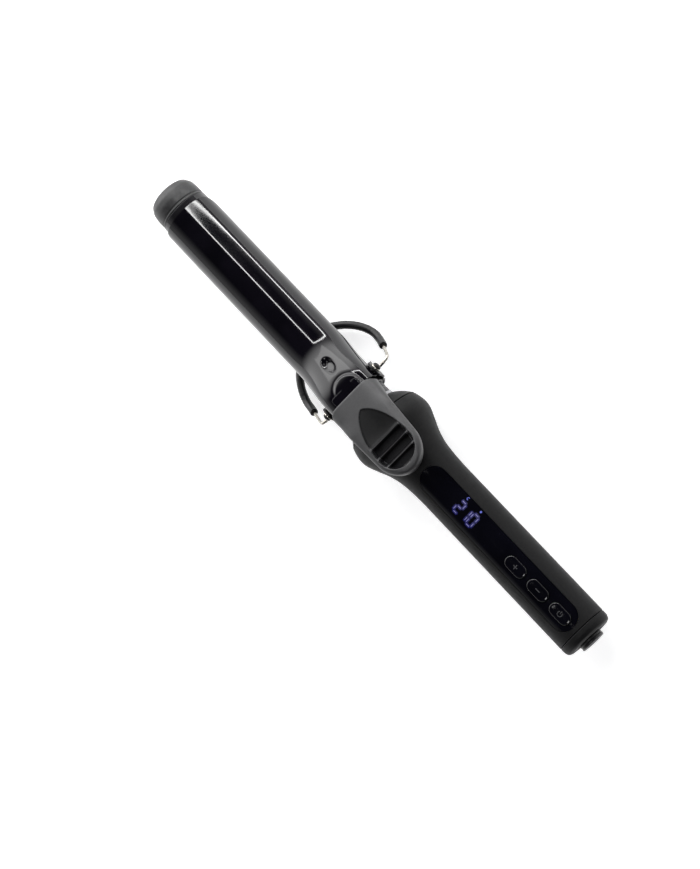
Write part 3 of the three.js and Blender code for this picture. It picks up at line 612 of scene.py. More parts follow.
def make_blade():
    """The spring clip: a thin arched sheet from the free end to the lever, with its inner face."""
    columns = 120
    stations = [BLADE_START + 10.0 * (1 - math.cos(t)) for t in steps(0.0, math.pi / 2, 14)]
    stations += steps(BLADE_START + 14.0, NECK_RISE_START - 2.0, 16)
    stations += steps(NECK_RISE_START, BLADE_END, 130)
    outer, inner = [], []
    for x in stations:
        edge, crown, power = blade_section(x)
        tip = min((x - BLADE_START) / 10.0, 1.0)
        lowest = edge + 9.5 * (1.0 - math.sqrt(max(1.0 - (1.0 - tip) ** 2, 0.0)))
        first = math.asin(min((lowest - edge) / (crown - edge), 1.0))
        for k in range(columns + 1):
            angle = mix(first, math.pi - first, k / columns)
            side = math.copysign(abs(math.cos(angle)) ** power, math.cos(angle))
            up = math.sin(angle) ** power
            y, z = BLADE_OUTER * side, edge + (crown - edge) * up
            z = blade_relief(x, y, z)
            outer.append(at(x, y, z))
            inner.append(at(x, y * (1 - BLADE_THICK / BLADE_OUTER), z - BLADE_THICK * up))
    faces = doubled_faces(len(stations), columns + 1)
    blade = mesh_piece("clamp_blade_fine", outer + inner, faces, COATING, 50.0)
    stand_for(blade, "clamp", "coated_metal", "clamp_blade")


def make_tongue_strap():
    """The tongue's level run under the lever, which the lever's screws pass through."""
    half = 9.6
    outline = [(1.0, -half), (TONGUE_END, -half), (TONGUE_END, half), (1.0, half)]
    outline = rounded(outline, 2.0, closed=True)
    strap = bevelled(prism("tongue_strap", outline, TONGUE_TOP - 1.1, TONGUE_TOP, COATING), 0.2)
    stand_for(strap, "clamp", "coated_metal")


def make_ears():
    """Ears of the blade beside the neck, which the hinge pins pass through."""
    radius = 3.6
    for name, side in (("left", -1), ("right", 1)):
        outline = [(HINGE.x + radius * math.cos(t), HINGE.z + radius * math.sin(t))
                   for t in steps(math.pi, math.pi * 2, 20)]
        outline += [(HINGE.x + radius - 1.0, HINGE.z + 3.0), (HINGE.x, 14.0), (HINGE.x - radius, 14.0)]
        y0, y1 = sorted((side * (BLADE_OUTER - BLADE_THICK), side * (BLADE_OUTER - 0.02)))
        ear = bevelled(side_prism(f"blade_ear_{name}", outline, y0, y1, COATING), 0.15)
        stand_for(ear, "clamp", "coated_metal")


# ---- thumb lever

RIBS = (39.5, 46.5, 53.4)
SCOOP_START, SCOOP_WIDEST, SCOOP_END, SCOOP_HALF = 18.0, 48.0, 60.4, 12.6
LEVER_POWER = 3.6
LEVER_TRAVEL = math.radians(11.0)
LEVER_WALL = 0.9


def lever_top(x):
    return mix(LEVER_FRONT_TOP, LEVER_BACK_TOP, (x - LEVER_START) / (LEVER_END - LEVER_START))


def lever_edge(x):
    if x < 14.0:
        return mix(18.5, 20.5, (x - LEVER_START) / (14.0 - LEVER_START))
    if x < 27.0:
        return mix(20.5, 27.4, smooth((x - 14.0) / 13.0))
    return mix(27.4, 31.4, (x - 27.0) / (LEVER_END - 27.0))


def lever_half(x):
    plain = mix(LEVER_FRONT_HALF, LEVER_BACK_HALF, (x - LEVER_START) / (LEVER_ROUND_FROM - LEVER_START))
    past = max(0.0, (x - LEVER_ROUND_FROM) / (LEVER_END - LEVER_ROUND_FROM))
    return min(plain, LEVER_FRONT_HALF) * max(1.0 - past ** 2.1, 0.0) ** 0.5


def scoop_half(x):
    if not SCOOP_START < x < SCOOP_END:
        return 0.0
    if x < SCOOP_WIDEST:
        return SCOOP_HALF * (1.0 - ((SCOOP_WIDEST - x) / (SCOOP_WIDEST - SCOOP_START)) ** 2) ** 0.62
    return SCOOP_HALF * (1.0 - ((x - SCOOP_WIDEST) / (SCOOP_END - SCOOP_WIDEST)) ** 2) ** 0.5


def pressed_clear(x):
    """Lowest height at rest that still clears the handle's flat when the lever is fully pressed."""
    needed = LEVER_FLAT + 0.6 - HINGE.z + (x - HINGE.x) * math.sin(LEVER_TRAVEL)
    return HINGE.z + needed / math.cos(LEVER_TRAVEL)


def scoop_relief(x, y):
    """How far the thumb rest lies below the lever's top, and how much of it is a slot, which also masks
    the painted shade laid into the slots.
    """
    half = scoop_half(x)
    inside = min(half - abs(y), (SCOOP_END - x) * 1.6)
    if inside <= 0.0:
        return 0.0, 0.0
    bowl = 1.0 - (y / max(half, 1.0)) ** 2
    floor = mix(0.7, 3.4, smooth((x - SCOOP_START) / 20.0)) * (0.35 + 0.65 * bowl)
    deep = floor * smooth(inside / 1.1)
    from_rib = min(abs(x - rib) for rib in RIBS)
    rib = 0.5 + 0.5 * math.cos(math.pi * min(from_rib / 1.9, 1.0))
    ribbed = smooth((x - RIBS[0] + 2.6) / 1.2) * smooth(inside / 1.5)
    slotted = ribbed * (1.0 - rib) * smooth((x - RIBS[0]) / 0.6) * smooth((59.3 - x) / 0.9)
    deep -= 1.9 * ribbed * rib * bowl ** 0.3
    room = lever_top(x) - pressed_clear(x) - LEVER_WALL
    return min(max(deep, 0.0) + 1.4 * slotted, room), slotted


def lever_nose(x, y):
    """Moves the lever's front edge back towards its corners, so that it is bowed in plan."""
    near = max(0.0, 1.0 - (x - LEVER_START) / 7.0)
    corner = max(0.0, abs(y) / LEVER_FRONT_HALF - 0.62) / 0.38
    return x + near * (3.2 * corner ** 2.2)


def make_lever():
    """Soft-touch lever: an arched shell whose top is hollowed into a ribbed thumb rest."""
    sides, tops = 14, 130
    shape = [(-1.0, h) for h in steps(0.0, 0.7, sides)]
    shape += [(t, None) for t in steps(-0.92, 0.92, tops)]
    shape += [(1.0, h) for h in reversed(steps(0.0, 0.7, sides))]
    stations = [LEVER_START + 0.9 * (1 - math.cos(t)) for t in steps(0.0, math.pi / 2, 5)]
    stations += steps(LEVER_START + 1.3, LEVER_ROUND_FROM, 160)
    length = LEVER_END - LEVER_ROUND_FROM
    stations += [LEVER_ROUND_FROM + length * math.sin(t) for t in steps(0.02, math.pi / 2, 70)]
    outer, inner = [], []
    for x in stations:
        half, edge = lever_half(x), lever_edge(x)
        nose = max(0.0, (x - (LEVER_END - 4.0)) / 4.0)
        lip = max(0.0, 1.0 - (x - LEVER_START) / 0.9)
        soften = 1 - math.sqrt(max(1 - lip * lip, 0.0))
        crown = lever_top(x) - 3.4 * (1 - math.sqrt(max(1 - nose * nose, 0.0))) - 0.7 * soften
        drop = 0.6 * soften
        for side, level in shape:
            if level is None:
                y = (half - drop) * side
                z = edge + (crown - edge) * (1.0 - abs(side) ** LEVER_POWER) ** (1.0 / LEVER_POWER)
            else:
                y = (half - drop) * side * (1.0 - level ** LEVER_POWER) ** (1.0 / LEVER_POWER)
                z = edge + (crown - edge) * level
            deep, _ = scoop_relief(x, y)
            along = min(lever_nose(x, y), LEVER_END)
            outer.append(at(along, y, z - deep))
            up = (z - edge) / max(crown - edge, 0.1)
            roof = max(1.6, deep + LEVER_WALL)
            inner.append(at(min(along, LEVER_END - 1.2), y * max(1 - 1.6 / max(half, 1.7), 0.05),
                            max(z - roof * up, edge)))
    faces = doubled_faces(len(stations), len(shape))
    lever = mesh_piece("thumb_lever_fine", outer + inner, faces, LEVER_SKIN, 50.0)
    # extra slots: painted shade, black in the rib slots and darker over the thumb rest's bowl
    lever.data.materials.append(SLOT_PAINTED_SHADE)
    lever.data.materials.append(REST_PAINTED_SHADE)
    paint_rest_and_slot_shade(lever)
    stand_for(lever, "clamp", "charcoal_plastic", "thumb_lever")


def paint_rest_and_slot_shade(lever):
    """Paints shade on the thumb rest: a darker painted shade over its bowl and a black painted shade in
    the deep slots between the ribs.
    """
    for face in lever.data.polygons:
        place = (face.center - ORIGIN) / MM
        deep, slotted = scoop_relief(place.x, place.y)
        if deep > 0.25 and place.z > lever_top(place.x) - deep - 0.4:
            face.material_index = 1 if slotted > 0.4 else 2


# ---- handle


def bulb_line(inwards=0.0):
    """Outer line of the bulb and grip, moved in by an amount."""
    knots = [(HANDLE_START, 24.4), (30.5, 25.3), (34.0, BULB_RADIUS), (38.2, 25.3), (45.3, 22.5),
             (52.4, 19.5), (59.5, 17.6), (67.0, 16.7), (77.5, HANDLE_RADIUS)]
    curve = catmull([Vector(knot) for knot in knots], 7)
    line = [(point.x, min(point.y, BULB_RADIUS) - inwards) for point in curve]
    return line + [(HANDLE_END, HANDLE_RADIUS - inwards)]


def flat_cutter():
    box = [(10.0, LEVER_FLAT), (60.0, LEVER_FLAT), (60.0, 40.0), (10.0, 40.0)]
    return side_prism("flat_cutter", box, -30.0, 30.0, CHARCOAL)


def make_ring():
    """Domed front ring: smooth quarter-round from the neck to its widest edge."""
    inner = 15.7
    knots = [(RING_START, 16.2), (18.9, 17.6), (20.2, 19.2), (21.6, 20.6), (23.2, 22.0), (24.8, 23.2),
             (RING_END - 0.3, RING_RADIUS)]
    dome = [(point.x, point.y) for point in catmull([Vector(knot) for knot in knots], 5)]
    profile = [*dome, (RING_END, RING_RADIUS - 0.3), (RING_END, 19.8), (22.9, 18.0), (21.5, inner),
               (RING_START, inner)]
    ring = carve(turned("front_ring_fine", profile, CHARCOAL, 144), flat_cutter())
    stand_for(ring, "handle", "charcoal_plastic", "front_ring")


def shell_profile():
    line = bulb_line()
    line[0] = (HANDLE_START + 0.25, line[0][1])
    return [(HANDLE_START, line[0][1] - 0.3), *line[:-1], (HANDLE_END - 0.3, HANDLE_RADIUS),
            (HANDLE_END, HANDLE_RADIUS - 0.3), (HANDLE_END, 13.6), (70.0, 13.6), (58.0, 15.0),
            (45.0, 19.4), (HANDLE_START, 19.4)]


def make_shells():
    """Two moulded halves that meet in a fine groove along the sides."""
    lean = math.degrees(SEAM / HANDLE_RADIUS)
    top = turned("handle_top_fine", shell_profile(), CHARCOAL, 96, start=lean, sweep=180.0 - 2 * lean)
    carve(top, flat_cutter())
    slot = racetrack(LENS_START - 0.3, LENS_END + 0.3, LENS_HALF + 0.3)
    carve(top, prism("panel_slot", slot, CUT_LOW, CUT_HIGH, CHARCOAL))
    stand_for(top, "handle", "charcoal_plastic", "handle_top_shell")
    bottom = turned("handle_bottom_fine", shell_profile(), CHARCOAL, 96, start=180.0 + lean,
                    sweep=180.0 - 2 * lean)
    for name in ("left", "right"):
        low, high = span(f"shell_screw_{name}")
        well = cylinder("screw_well", -14.0, 22.0, 3.1, CHARCOAL)
        middle = (low + high) / 2
        pointing(well, UPWARDS, at(middle.x, middle.y, -26.0 - 14.0 + 0.4))
        carve(bottom, well)
    stand_for(bottom, "handle", "charcoal_plastic", "handle_bottom_shell")


def make_lens():
    """Smoked panel that follows the handle's round, with a hole for each key."""
    outer = [point for point in bulb_line(LENS_INSET) if point[0] > 60.0]
    under = [point for point in bulb_line(LENS_INSET + 1.1) if point[0] > 60.0]
    lens = turned("display_lens_fine", [*outer, *reversed(under)], PANEL, 64, start=50.0, sweep=80.0)
    plan = prism("lens_plan", racetrack(LENS_START, LENS_END, LENS_HALF, 40), CUT_LOW, CUT_HIGH, PANEL)
    carve(lens, plan, "INTERSECT")
    for key in KEYS:
        low, high = span(f"button_{key}")
        middle = (low.x + high.x) / 2
        reach = KEY_LENGTH / 2 + 0.3
        hole = racetrack(middle - reach, middle + reach, KEY_WIDTH / 2 + 0.3)
        carve(lens, prism("key_hole", hole, CUT_LOW, CUT_HIGH, PANEL))
    stand_for(lens, "handle", "gloss_panel", "display_lens")


def crown_height(y, radius):
    return math.sqrt(max(radius * radius - y * y, 0.0))


def make_key(name):
    """Oblong key with a softened edge and a top that follows the handle's round."""
    low, high = span(f"button_{name}")
    middle = (low.x + high.x) / 2
    radius = HANDLE_RADIUS + KEY_PROUD
    rings = [(0.0, -1.0, 2.4), (0.0, -0.55, 0.0), (0.06, -0.3, 0.0), (0.18, -0.14, 0.0),
             (0.36, -0.04, 0.0), (0.6, 0.0, 0.0), (1.4, 0.0, 0.0), (2.4, 0.0, 0.0), (3.6, 0.0, 0.0)]
    places, per_end = [], 20
    for inset, sink, deeper in rings:
        outline = racetrack(middle - KEY_LENGTH / 2 + inset, middle + KEY_LENGTH / 2 - inset,
                            KEY_WIDTH / 2 - inset, per_end)
        for x, y in outline:
            dish = 0.05 * smooth((inset - 0.6) / 2.5)
            places.append(at(x, y, crown_height(y, radius) + sink - deeper - dish))
    width = (per_end + 1) * 2
    faces = grid_faces(len(rings), width, wrap=True)
    faces.append(tuple((len(rings) - 1) * width + k for k in range(width)))
    faces.append(tuple(reversed(range(width))))
    key = mesh_piece(f"key_{name}", places, faces, PANEL, 60.0)
    stand_for(key, f"{name}_key", "gloss_panel", f"button_{name}")
    make_icon(name, middle, radius - 0.05)


def strip(centre, direction, length, half, surface, lift):
    """Places and faces of a thin bar laid on a round surface, pointed at its ends."""
    across = Vector((-direction.y, direction.x))
    point = 0.5 * half / length
    stations = [-0.5, -0.5 + point, *steps(-0.4, 0.4, 6), 0.5 - point, 0.5]
    places = []
    for t in stations:
        width = half * (0.25 if abs(t) == 0.5 else 1.0)
        for k in (-1.0, 0.0, 1.0):
            spot = centre + direction * (t * length) + across * (width * k)
            places.append(at(spot.x, spot.y, crown_height(spot.y, surface) + lift))
    return places, grid_faces(len(stations), 3)


def laid_piece(name, parts, material):
    places, faces = [], []
    for part_places, part_faces in parts:
        base = len(places)
        places += part_places
        faces += [tuple(base + i for i in face) for face in part_faces]
    return mesh_piece(name, places, faces, material, 60.0)


def arc_parts(middle, radius, first, last, half, surface, lift):
    """A curved stroke laid on a round surface."""
    count, places = 28, []
    for angle in steps(math.radians(first), math.radians(last), count):
        for r in (radius - half, radius, radius + half):
            x, y = middle.x + r * math.cos(angle), middle.y + r * math.sin(angle)
            places.append(at(x, y, crown_height(y, surface) + lift))
    return places, grid_faces(count + 1, 3)


def make_icon(name, middle, surface):
    """Plain plus, minus and power signs on the keys."""
    centre, along, up = Vector((middle, 0.0)), Vector((1.0, 0.0)), Vector((0.0, 1.0))
    half, lift = 0.26, 0.05
    if name == "plus":
        parts = [strip(centre, line, 3.2, half, surface, lift) for line in (along, up)]
    elif name == "minus":
        parts = [strip(centre, along, 3.2, half, surface, lift)]
    else:
        parts = [arc_parts(centre, 1.5, 125.0, 415.0, 0.22, surface, lift),
                 strip(centre + up * 1.1, up, 1.7, 0.22, surface, lift)]
    icon = laid_piece(f"icon_{name}", parts, ICON)
    stand_for(icon, f"{name}_key", "grey_trim")


DIGIT_FIRST, DIGIT_PITCH, DIGIT_HEIGHT, DIGIT_WIDTH = 95.2, 5.2, 7.6, 3.9
DIGITS_Y = 0.3
MARKS_Y = 7.0
SEGMENTS = {
    "a": (0.0, 1.0, True), "d": (0.0, -1.0, True), "g": (0.0, 0.0, True),
    "b": (1.0, 0.5, False), "c": (1.0, -0.5, False), "e": (-1.0, -0.5, False), "f": (-1.0, 0.5, False),
}
LIT = ("abged", "bc", "abcdef")


def make_display():
    """Seven-segment figures and two small marks, bright cores over a wider blue glow."""
    along, up = Vector((1.0, 0.0)), Vector((0.0, 1.0))
    surface = HANDLE_RADIUS - LENS_INSET
    for name, half, grow, lift, material in (("glow", 1.0, 1.3, 0.02, SEGMENT_GLOW),
                                             ("light", 0.2, -0.3, 0.05, SEGMENT_LIGHT)):
        parts = []
        for place, lit in enumerate(LIT):
            middle = Vector((DIGIT_FIRST + DIGIT_PITCH * place, DIGITS_Y))
            for segment in lit:
                dx, dy, level = SEGMENTS[segment]
                spot = middle + Vector((dx * DIGIT_WIDTH / 2, dy * DIGIT_HEIGHT / 2))
                length = DIGIT_WIDTH - 1.3 if level else DIGIT_HEIGHT / 2 - 1.2
                parts.append(strip(spot, along if level else up, length + grow, half, surface, lift))
        piece = laid_piece(f"display_{name}", parts, material)
        stand_for(piece, "handle", "gloss_panel")
    dot = Vector((DIGIT_FIRST + DIGIT_PITCH * 2, MARKS_Y))
    open_ring = Vector((DIGIT_FIRST, MARKS_Y))
    marks = laid_piece("display_marks", [arc_parts(dot, 0.35, 0.0, 360.0, 0.3, surface, 0.05),
                                         arc_parts(open_ring, 0.7, 60.0, 300.0, 0.2, surface, 0.05)],
                       SEGMENT_MARK)
    stand_for(marks, "handle", "gloss_panel")


def make_end():
    """End cap with a soft shoulder and a groove, and the turning gland with its bore."""
    profile = [(187.0, 13.3), (HANDLE_END + 0.3, 13.3), (HANDLE_END + 0.3, HANDLE_RADIUS),
               (194.5, HANDLE_RADIUS - 0.1), (196.6, 15.2), (CAP_END, 13.4), (CAP_END, 9.4),
               (CAP_END - 0.5, 9.0), (CAP_END - 0.5, 8.2), (CAP_END, 7.9), (CAP_END, 6.6),
               (CAP_END - 2.4, 6.6), (CAP_END - 2.4, 11.4), (187.0, 11.4)]
    cap = turned("end_cap_fine", rounded(profile, 0.5, closed=True), CHARCOAL, 128)
    stand_for(cap, "handle", "charcoal_plastic", "end_cap")
    start = span("swivel_gland")[0].x
    profile = [(start, 5.0), (192.0, 5.0), (192.0, 8.5), (194.6, 8.5), (194.6, 6.2),
               (CAP_END + 0.3, 6.2), (CAP_END + 0.3, 7.6), (CAP_END + 1.3, 7.6), (CAP_END + 1.6, 7.2),
               (CAP_END + 1.9, 7.6), (GLAND_END - 0.5, 7.6), (GLAND_END, 7.1), (GLAND_END, 4.4),
               (GLAND_END - 0.8, GLAND_BORE), (start, GLAND_BORE)]
    gland = turned("swivel_gland_fine", rounded(profile, 0.3, closed=True), BLACK_PLASTIC, 96)
    stand_for(gland, "cord_swivel_head", "black_plastic", "swivel_gland")


# ---- hinge saddle, pins and screws


def make_saddle():
    """Black strap under the barrel's end that rises on both sides into the hinge ears."""
    inner = BARREL_RADIUS + 0.35
    ear_inner, ear_outer = 18.2, 19.3
    thick = ear_outer - ear_inner
    line = [(ear_inner, h) for h in steps(15.0, 3.6, 26)]
    line += [(mix(ear_inner, inner, smooth(t)), mix(3.4, 0.0, t)) for t in steps(0.15, 0.9, 6)]
    line += [(inner * math.cos(t), inner * math.sin(t)) for t in steps(0.0, -math.pi / 2, 36)]
    line += [(-y, z) for y, z in reversed(line[:-1])]
    places = []
    for i, (y, z) in enumerate(line):
        before, after = Vector(line[max(i - 1, 0)]), Vector(line[min(i + 1, len(line) - 1)])
        run = (after - before).normalized()
        out = Vector((-run.y, run.x))
        if out.dot(Vector((y, z - 4.0))) < 0:
            out.negate()
        x0, x1 = saddle_width(z)
        for x, push in ((x0, 0.0), (x1, 0.0), (x1, thick), (x0, thick)):
            places.append(at(x, y + out.x * push, z + out.y * push))
    faces = grid_faces(len(line), 4, wrap=True)
    faces += [(3, 2, 1, 0), tuple(len(places) - 4 + k for k in range(4))]
    saddle = bevelled(mesh_piece("hinge_saddle_fine", places, faces, BLACK_STEEL), 0.18)
    stand_for(saddle, "handle", "black_steel", "hinge_saddle")


def saddle_width(z):
    """Fore and aft edges of the strap at a height: full low down, then round about the hinge."""
    radius = 5.0
    if z > HINGE.z:
        half = math.sqrt(max(radius ** 2 - (z - HINGE.z) ** 2, 0.04))
        return HINGE.x - half, HINGE.x + half
    blend = smooth((z - 3.0) / (HINGE.z - 3.0))
    return mix(-4.0, HINGE.x - radius, blend), mix(8.0, HINGE.x + radius, blend)


def make_hinge_pins():
    for name, side in (("left", -1), ("right", 1)):
        profile = [(15.4, 0.0), (15.4, 1.5), (20.5, 1.5), (20.5, 2.6), (21.2, 2.55), (21.8, 2.1),
                   (22.2, 1.2), (22.3, 0.6), (22.0, 0.5), (22.0, 0.0)]
        rivet = turned(f"hinge_rivet_{name}_fine", rounded(profile, 0.2), BLACK_STEEL, 48)
        pointing(rivet, sideways(side), at(HINGE.x, 0.0, HINGE.z))
        stand_for(rivet, "handle", "black_steel", f"hinge_rivet_{name}")
        profile = [(19.6, 3.3), (20.2, 3.3), (20.2, 1.8), (19.6, 1.8)]
        profile = rounded(profile, 0.15, closed=True)
        washer = turned(f"hinge_washer_{name}_fine", profile, BRIGHT_STEEL, 48)
        pointing(washer, sideways(side), at(HINGE.x, 0.0, HINGE.z))
        stand_for(washer, "handle", "bright_steel", f"hinge_washer_{name}")


def make_screw(node, body, slot, material, head_high, head_radius, shank_radius):
    """Pan-head screw standing on its head, with a cross recess in the head's underside."""
    low, high = span(node)
    x, y = (low.x + high.x) / 2, (low.y + high.y) / 2
    tall = high.z - low.z
    profile = [(0.0, 0.0), (0.0, head_radius * 0.75), (head_high * 0.35, head_radius * 0.95),
               (head_high * 0.6, head_radius), (head_high, head_radius), (head_high, shank_radius)]
    turns = max(int((tall - head_high - 0.8) / 0.55), 2)
    for k in range(turns):
        base = head_high + 0.4 + k * 0.55
        profile += [(base, shank_radius * 0.86), (base + 0.26, shank_radius)]
    profile += [(tall - 0.3, shank_radius * 0.8), (tall, 0.0)]
    screw = turned(f"{node}_fine", profile, material, 32)
    for angle in (0.0, 90.0):
        arm = head_radius * 0.62
        bar = side_prism("recess", [(-0.5, -arm), (head_high * 0.7, -arm), (head_high * 0.7, arm),
                                    (-0.5, arm)], -0.28, 0.28, material)
        turn = Matrix.Translation(at(0, 0, 0)) @ Matrix.Rotation(math.radians(angle), 4, "X")
        bar.data.transform(turn @ Matrix.Translation(-at(0, 0, 0)))
        carve(screw, bar)
    pointing(screw, UPWARDS, at(x, y, low.z))
    stand_for(screw, body, slot, node)


def make_screws():
    for name in ("left", "right"):
        make_screw(f"shell_screw_{name}", "handle", "black_steel", BLACK_STEEL, 1.8, 2.7, 1.4)
        make_screw(f"lever_screw_{name}", "clamp", "bright_steel", BRIGHT_STEEL, 1.1, 2.3, 1.2)
    make_screw("saddle_screw", "handle", "black_steel", BLACK_STEEL, 1.4, 2.7, 1.3)
    for name in ("front", "rear"):
        make_screw(f"board_screw_{name}", "handle", "bright_steel", BRIGHT_STEEL, 1.3, 2.1, 0.9)


def make_spring():
    """Return spring with closed, flat end turns."""
    low, high = span("return_spring")
    x = (low.x + high.x) / 2
    wire, coil, turns, flat = 0.45, 2.6, 5.5, 0.18
    path = []
    for t in steps(0.0, 1.0, 200):
        angle = 2 * math.pi * turns * t
        rise = smooth(t / flat) * 0.5 * flat + max(0.0, t - flat)
        height = mix(low.z + wire, high.z - wire, min(rise / (1.0 - flat / 2), 1.0))
        path.append(at(x + coil * math.cos(angle), coil * math.sin(angle), height))
    spring = tube("return_spring_fine", path, [wire] * len(path), BRIGHT_STEEL, 12)
    stand_for(spring, "handle", "bright_steel", "return_spring")
    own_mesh(spring)


# ---- stand

STAND_HALF = (
    (STAND.x, 17.1, 1.0), (STAND.x, 21.0, 1.0), (1.3, 25.2, 1.0), (0.6, 27.2, 0.2), (-1.0, 28.0, -1.9),
    (-5.0, 28.5, -6.4), (-9.6, 28.9, -11.4), (-14.2, 29.1, -15.4), (-19.5, 28.9, -17.8),
    (-26.5, 26.5, -18.6), (-33.7, 21.6, -18.7), (-40.9, 13.3, -18.9), (-45.0, 5.6, -19.0),
)
STAND_MIDDLE = (-46.0, 0.0, -19.0)
SLEEVE_RUN = (0.149, 0.832)


def make_stand():
    """Wire loop that props the iron up, with a silicone sleeve round its far part."""
    half = [at(x, y, z) for x, y, z in STAND_HALF]
    mirrored = [at(x, -y, z) for x, y, z in reversed(STAND_HALF)]
    path = catmull([*half, at(*STAND_MIDDLE), *mirrored], 12)
    radii = [1.0] * len(path)
    radii[0] = radii[-1] = 0.7
    wire = tube("stand_wire_fine", path, radii, BRIGHT_STEEL, 24)
    stand_for(wire, "stand", "bright_steel", "stand_wire")
    lengths = [0.0]
    for a, b in zip(path, path[1:]):
        lengths.append(lengths[-1] + (b - a).length)
    total = lengths[-1]
    covered = [p for p, s in zip(path, lengths) if SLEEVE_RUN[0] < s / total < SLEEVE_RUN[1]]
    first, last = covered[0], covered[-1]
    lead = (covered[1] - first).normalized() * MM
    tail = (last - covered[-2]).normalized() * MM
    ends_in = [first + lead * 0.6, first, first + lead * 0.05, first + lead * 0.35]
    ends_out = [last - tail * 0.35, last - tail * 0.05, last, last - tail * 0.6]
    inner_radii = [1.15, 1.3, 2.1, 2.42]
    body = covered[2:-2]
    swell = [2.44 + 0.05 * math.sin(k * 1.7) * math.sin(k * 0.23 + 1.0) for k in range(len(body))]
    sleeve = tube("stand_sleeve_fine", [*ends_in, *body, *ends_out],
                  [*inner_radii, *swell, *reversed(inner_radii)], SLEEVE, 32)
    stand_for(sleeve, "stand", "black_rubber", "stand_sleeve")


# ---- pieces inside


def dress_inside():
    looks = {
        ALUMINIUM: ("heat_spreader_upper", "heat_spreader_lower"),
        CERAMIC: ("heater_plate", "thermistor", "insulation_disc"),
        BRASS: ("contact_live", "contact_neutral", "slip_ring_live", "slip_ring_neutral"),
        CIRCUIT: ("main_board",),
        WOVEN: ("heater_lead_left", "heater_lead_right", "sensor_lead_left", "sensor_lead_right",
                "mains_lead_live", "mains_lead_neutral"),
        BRIGHT_STEEL: ("thermal_fuse",),
        COLLAR: ("filter_capacitor",),
        BLACK_PLASTIC: ("display_module", "switch_plus", "switch_minus", "switch_power", "triac",
                        "swivel_housing"),
    }
    for material, names in looks.items():
        for name in names:
            slots = frame["nodes"][name].data.materials
            slots.clear()
            slots.append(material)


# ---- studio


def area_light(name, place, target, along, size, radiance):
    """A soft box of a given brightness that faces a target, its first side lying along a direction."""
    data = bpy.data.lights.new(name, "AREA")
    data.shape = "RECTANGLE"
    data.size, data.size_y = size
    data.energy = radiance * math.pi * size[0] * size[1]
    lamp = bpy.data.objects.new(name, data)
    back = (Vector(place) - Vector(target)).normalized()
    first = Vector(along)
    first = (first - back * first.dot(back)).normalized()
    turn = Matrix((first, back.cross(first), back)).transposed().to_4x4()
    lamp.matrix_world = Matrix.Translation(place) @ turn
    lamp.visible_camera = False
    bpy.context.scene.collection.objects.link(lamp)


def make_floor():
    corner = 3.0
    bpy.ops.mesh.primitive_plane_add(size=corner * 2, location=(0.0, 0.0, CAD_BOUNDS[0][2]))
    floor = bpy.context.object
    floor.name = "pale_floor"
    floor.data.materials.append(floor_paint())


def make_lights():
    """One large soft box towards the tip, a fill on the far side, and the bright rims of a dark one."""
    middle = at(0.0, 0.0, 0.0)
    lengthwise, across = (1.0, 0.0, 0.0), (0.0, 1.0, 0.0)
    area_light("key_softbox", (-1.1, 0.2, 0.8), middle, across, (1.2, 0.5), 2.0)
    area_light("fill_side", (0.45, 1.5, 0.8), middle, lengthwise, (1.4, 0.5), 1.4)
    area_light("floor_wash", (0.3, -0.3, 2.4), middle, across, (0.5, 0.5), 8.0)
    high, low = Vector((-0.44, 0.417, 1.24)), Vector((-0.44, 1.336, 0.344))
    area_light("rim_high", high, middle, lengthwise, (0.34, 0.07), RIM_RADIANCE)
    area_light("rim_low", low, middle, lengthwise, (0.34, 0.09), RIM_RADIANCE)
    closing = (high + low) / 2 + Vector((-0.17, 0.0, 0.0))
    area_light("rim_end", closing, middle, low - high, ((low - high).length, 0.05), RIM_RADIANCE)


RIM_RADIANCE = 22.0
WALL_REACH = (-0.42, -0.72, 0.0, 3.2)


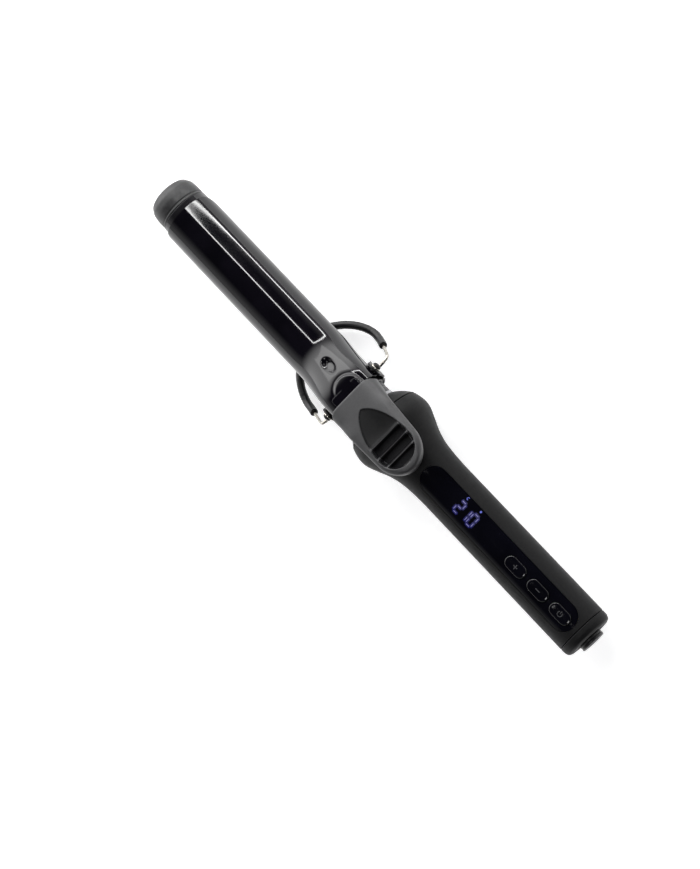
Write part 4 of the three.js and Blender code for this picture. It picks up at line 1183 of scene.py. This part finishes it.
def make_world():
    """Surroundings: pale at the horizon, dark overhead, with a soft bright wall towards the tip."""
    world = bpy.data.worlds.new("studio")
    world.use_nodes = True
    tree = world.node_tree
    place = tree.nodes.new("ShaderNodeTexCoord")
    split = tree.nodes.new("ShaderNodeSeparateXYZ")
    tree.links.new(place.outputs["Generated"], split.inputs["Vector"])
    sky = tree.nodes.new("ShaderNodeValToRGB")
    tree.links.new(split.outputs["Z"], sky.inputs["Fac"])
    low, high = sky.color_ramp.elements
    low.position, low.color = 0.2, (0.6, 0.6, 0.6, 1.0)
    high.position, high.color = 0.62, (0.02, 0.02, 0.022, 1.0)
    wall = tree.nodes.new("ShaderNodeMapRange")
    wall.interpolation_type = "SMOOTHSTEP"
    for socket, value in zip(("From Min", "From Max", "To Min", "To Max"), WALL_REACH):
        wall.inputs[socket].default_value = value
    tree.links.new(split.outputs["X"], wall.inputs["Value"])
    both = tree.nodes.new("ShaderNodeMix")
    both.data_type, both.blend_type = "RGBA", "ADD"
    both.inputs["Factor"].default_value = 1.0
    tree.links.new(sky.outputs["Color"], both.inputs["A"])
    tree.links.new(wall.outputs["Result"], both.inputs["B"])
    tree.links.new(both.outputs["Result"], tree.nodes["Background"].inputs["Color"])
    bpy.context.scene.world = world


TILT, ROLL, TURN = math.radians(12.2), math.radians(11.0), math.radians(46.7)
VIEW_DISTANCE = 1.2
VIEW_HEIGHT = 0.506
VIEW_CENTRE = (17.0, -20.0, 0.0)
SENSOR = 36.0


def make_camera():
    """Camera above the iron: tilted to the cord end, rolled to one side, iron running diagonally."""
    back = Vector((math.sin(TILT), math.cos(TILT) * math.sin(ROLL), math.cos(TILT) * math.cos(ROLL)))
    along = (Vector((1.0, 0.0, 0.0)) - back * back.x).normalized()
    beside = back.cross(along)
    right = along * math.cos(TURN) + beside * math.sin(TURN)
    up = back.cross(right)
    data = bpy.data.cameras.new("camera")
    data.sensor_width = SENSOR
    data.lens = SENSOR * VIEW_DISTANCE / VIEW_HEIGHT
    data.clip_start, data.clip_end = 0.05, 20.0
    camera = bpy.data.objects.new("camera", data)
    bpy.context.scene.collection.objects.link(camera)
    turn = Matrix((right, up, back)).transposed().to_4x4()
    camera.matrix_world = Matrix.Translation(at(*VIEW_CENTRE) + back * VIEW_DISTANCE) @ turn
    bpy.context.scene.camera = camera


# ---- the whole scene

make_camera()
for build in (make_barrel, make_tip, make_neck, make_blade, make_tongue_strap, make_ears, make_lever,
              make_ring, make_shells, make_lens):
    build()
for key_name in KEYS:
    make_key(key_name)
for build in (make_display, make_end, make_saddle, make_hinge_pins, make_screws, make_spring, make_stand,
              dress_inside, make_floor, make_lights, make_world):
    build()
bpy.context.scene.view_settings.view_transform = "Standard"

bpy.context.view_layer.update()
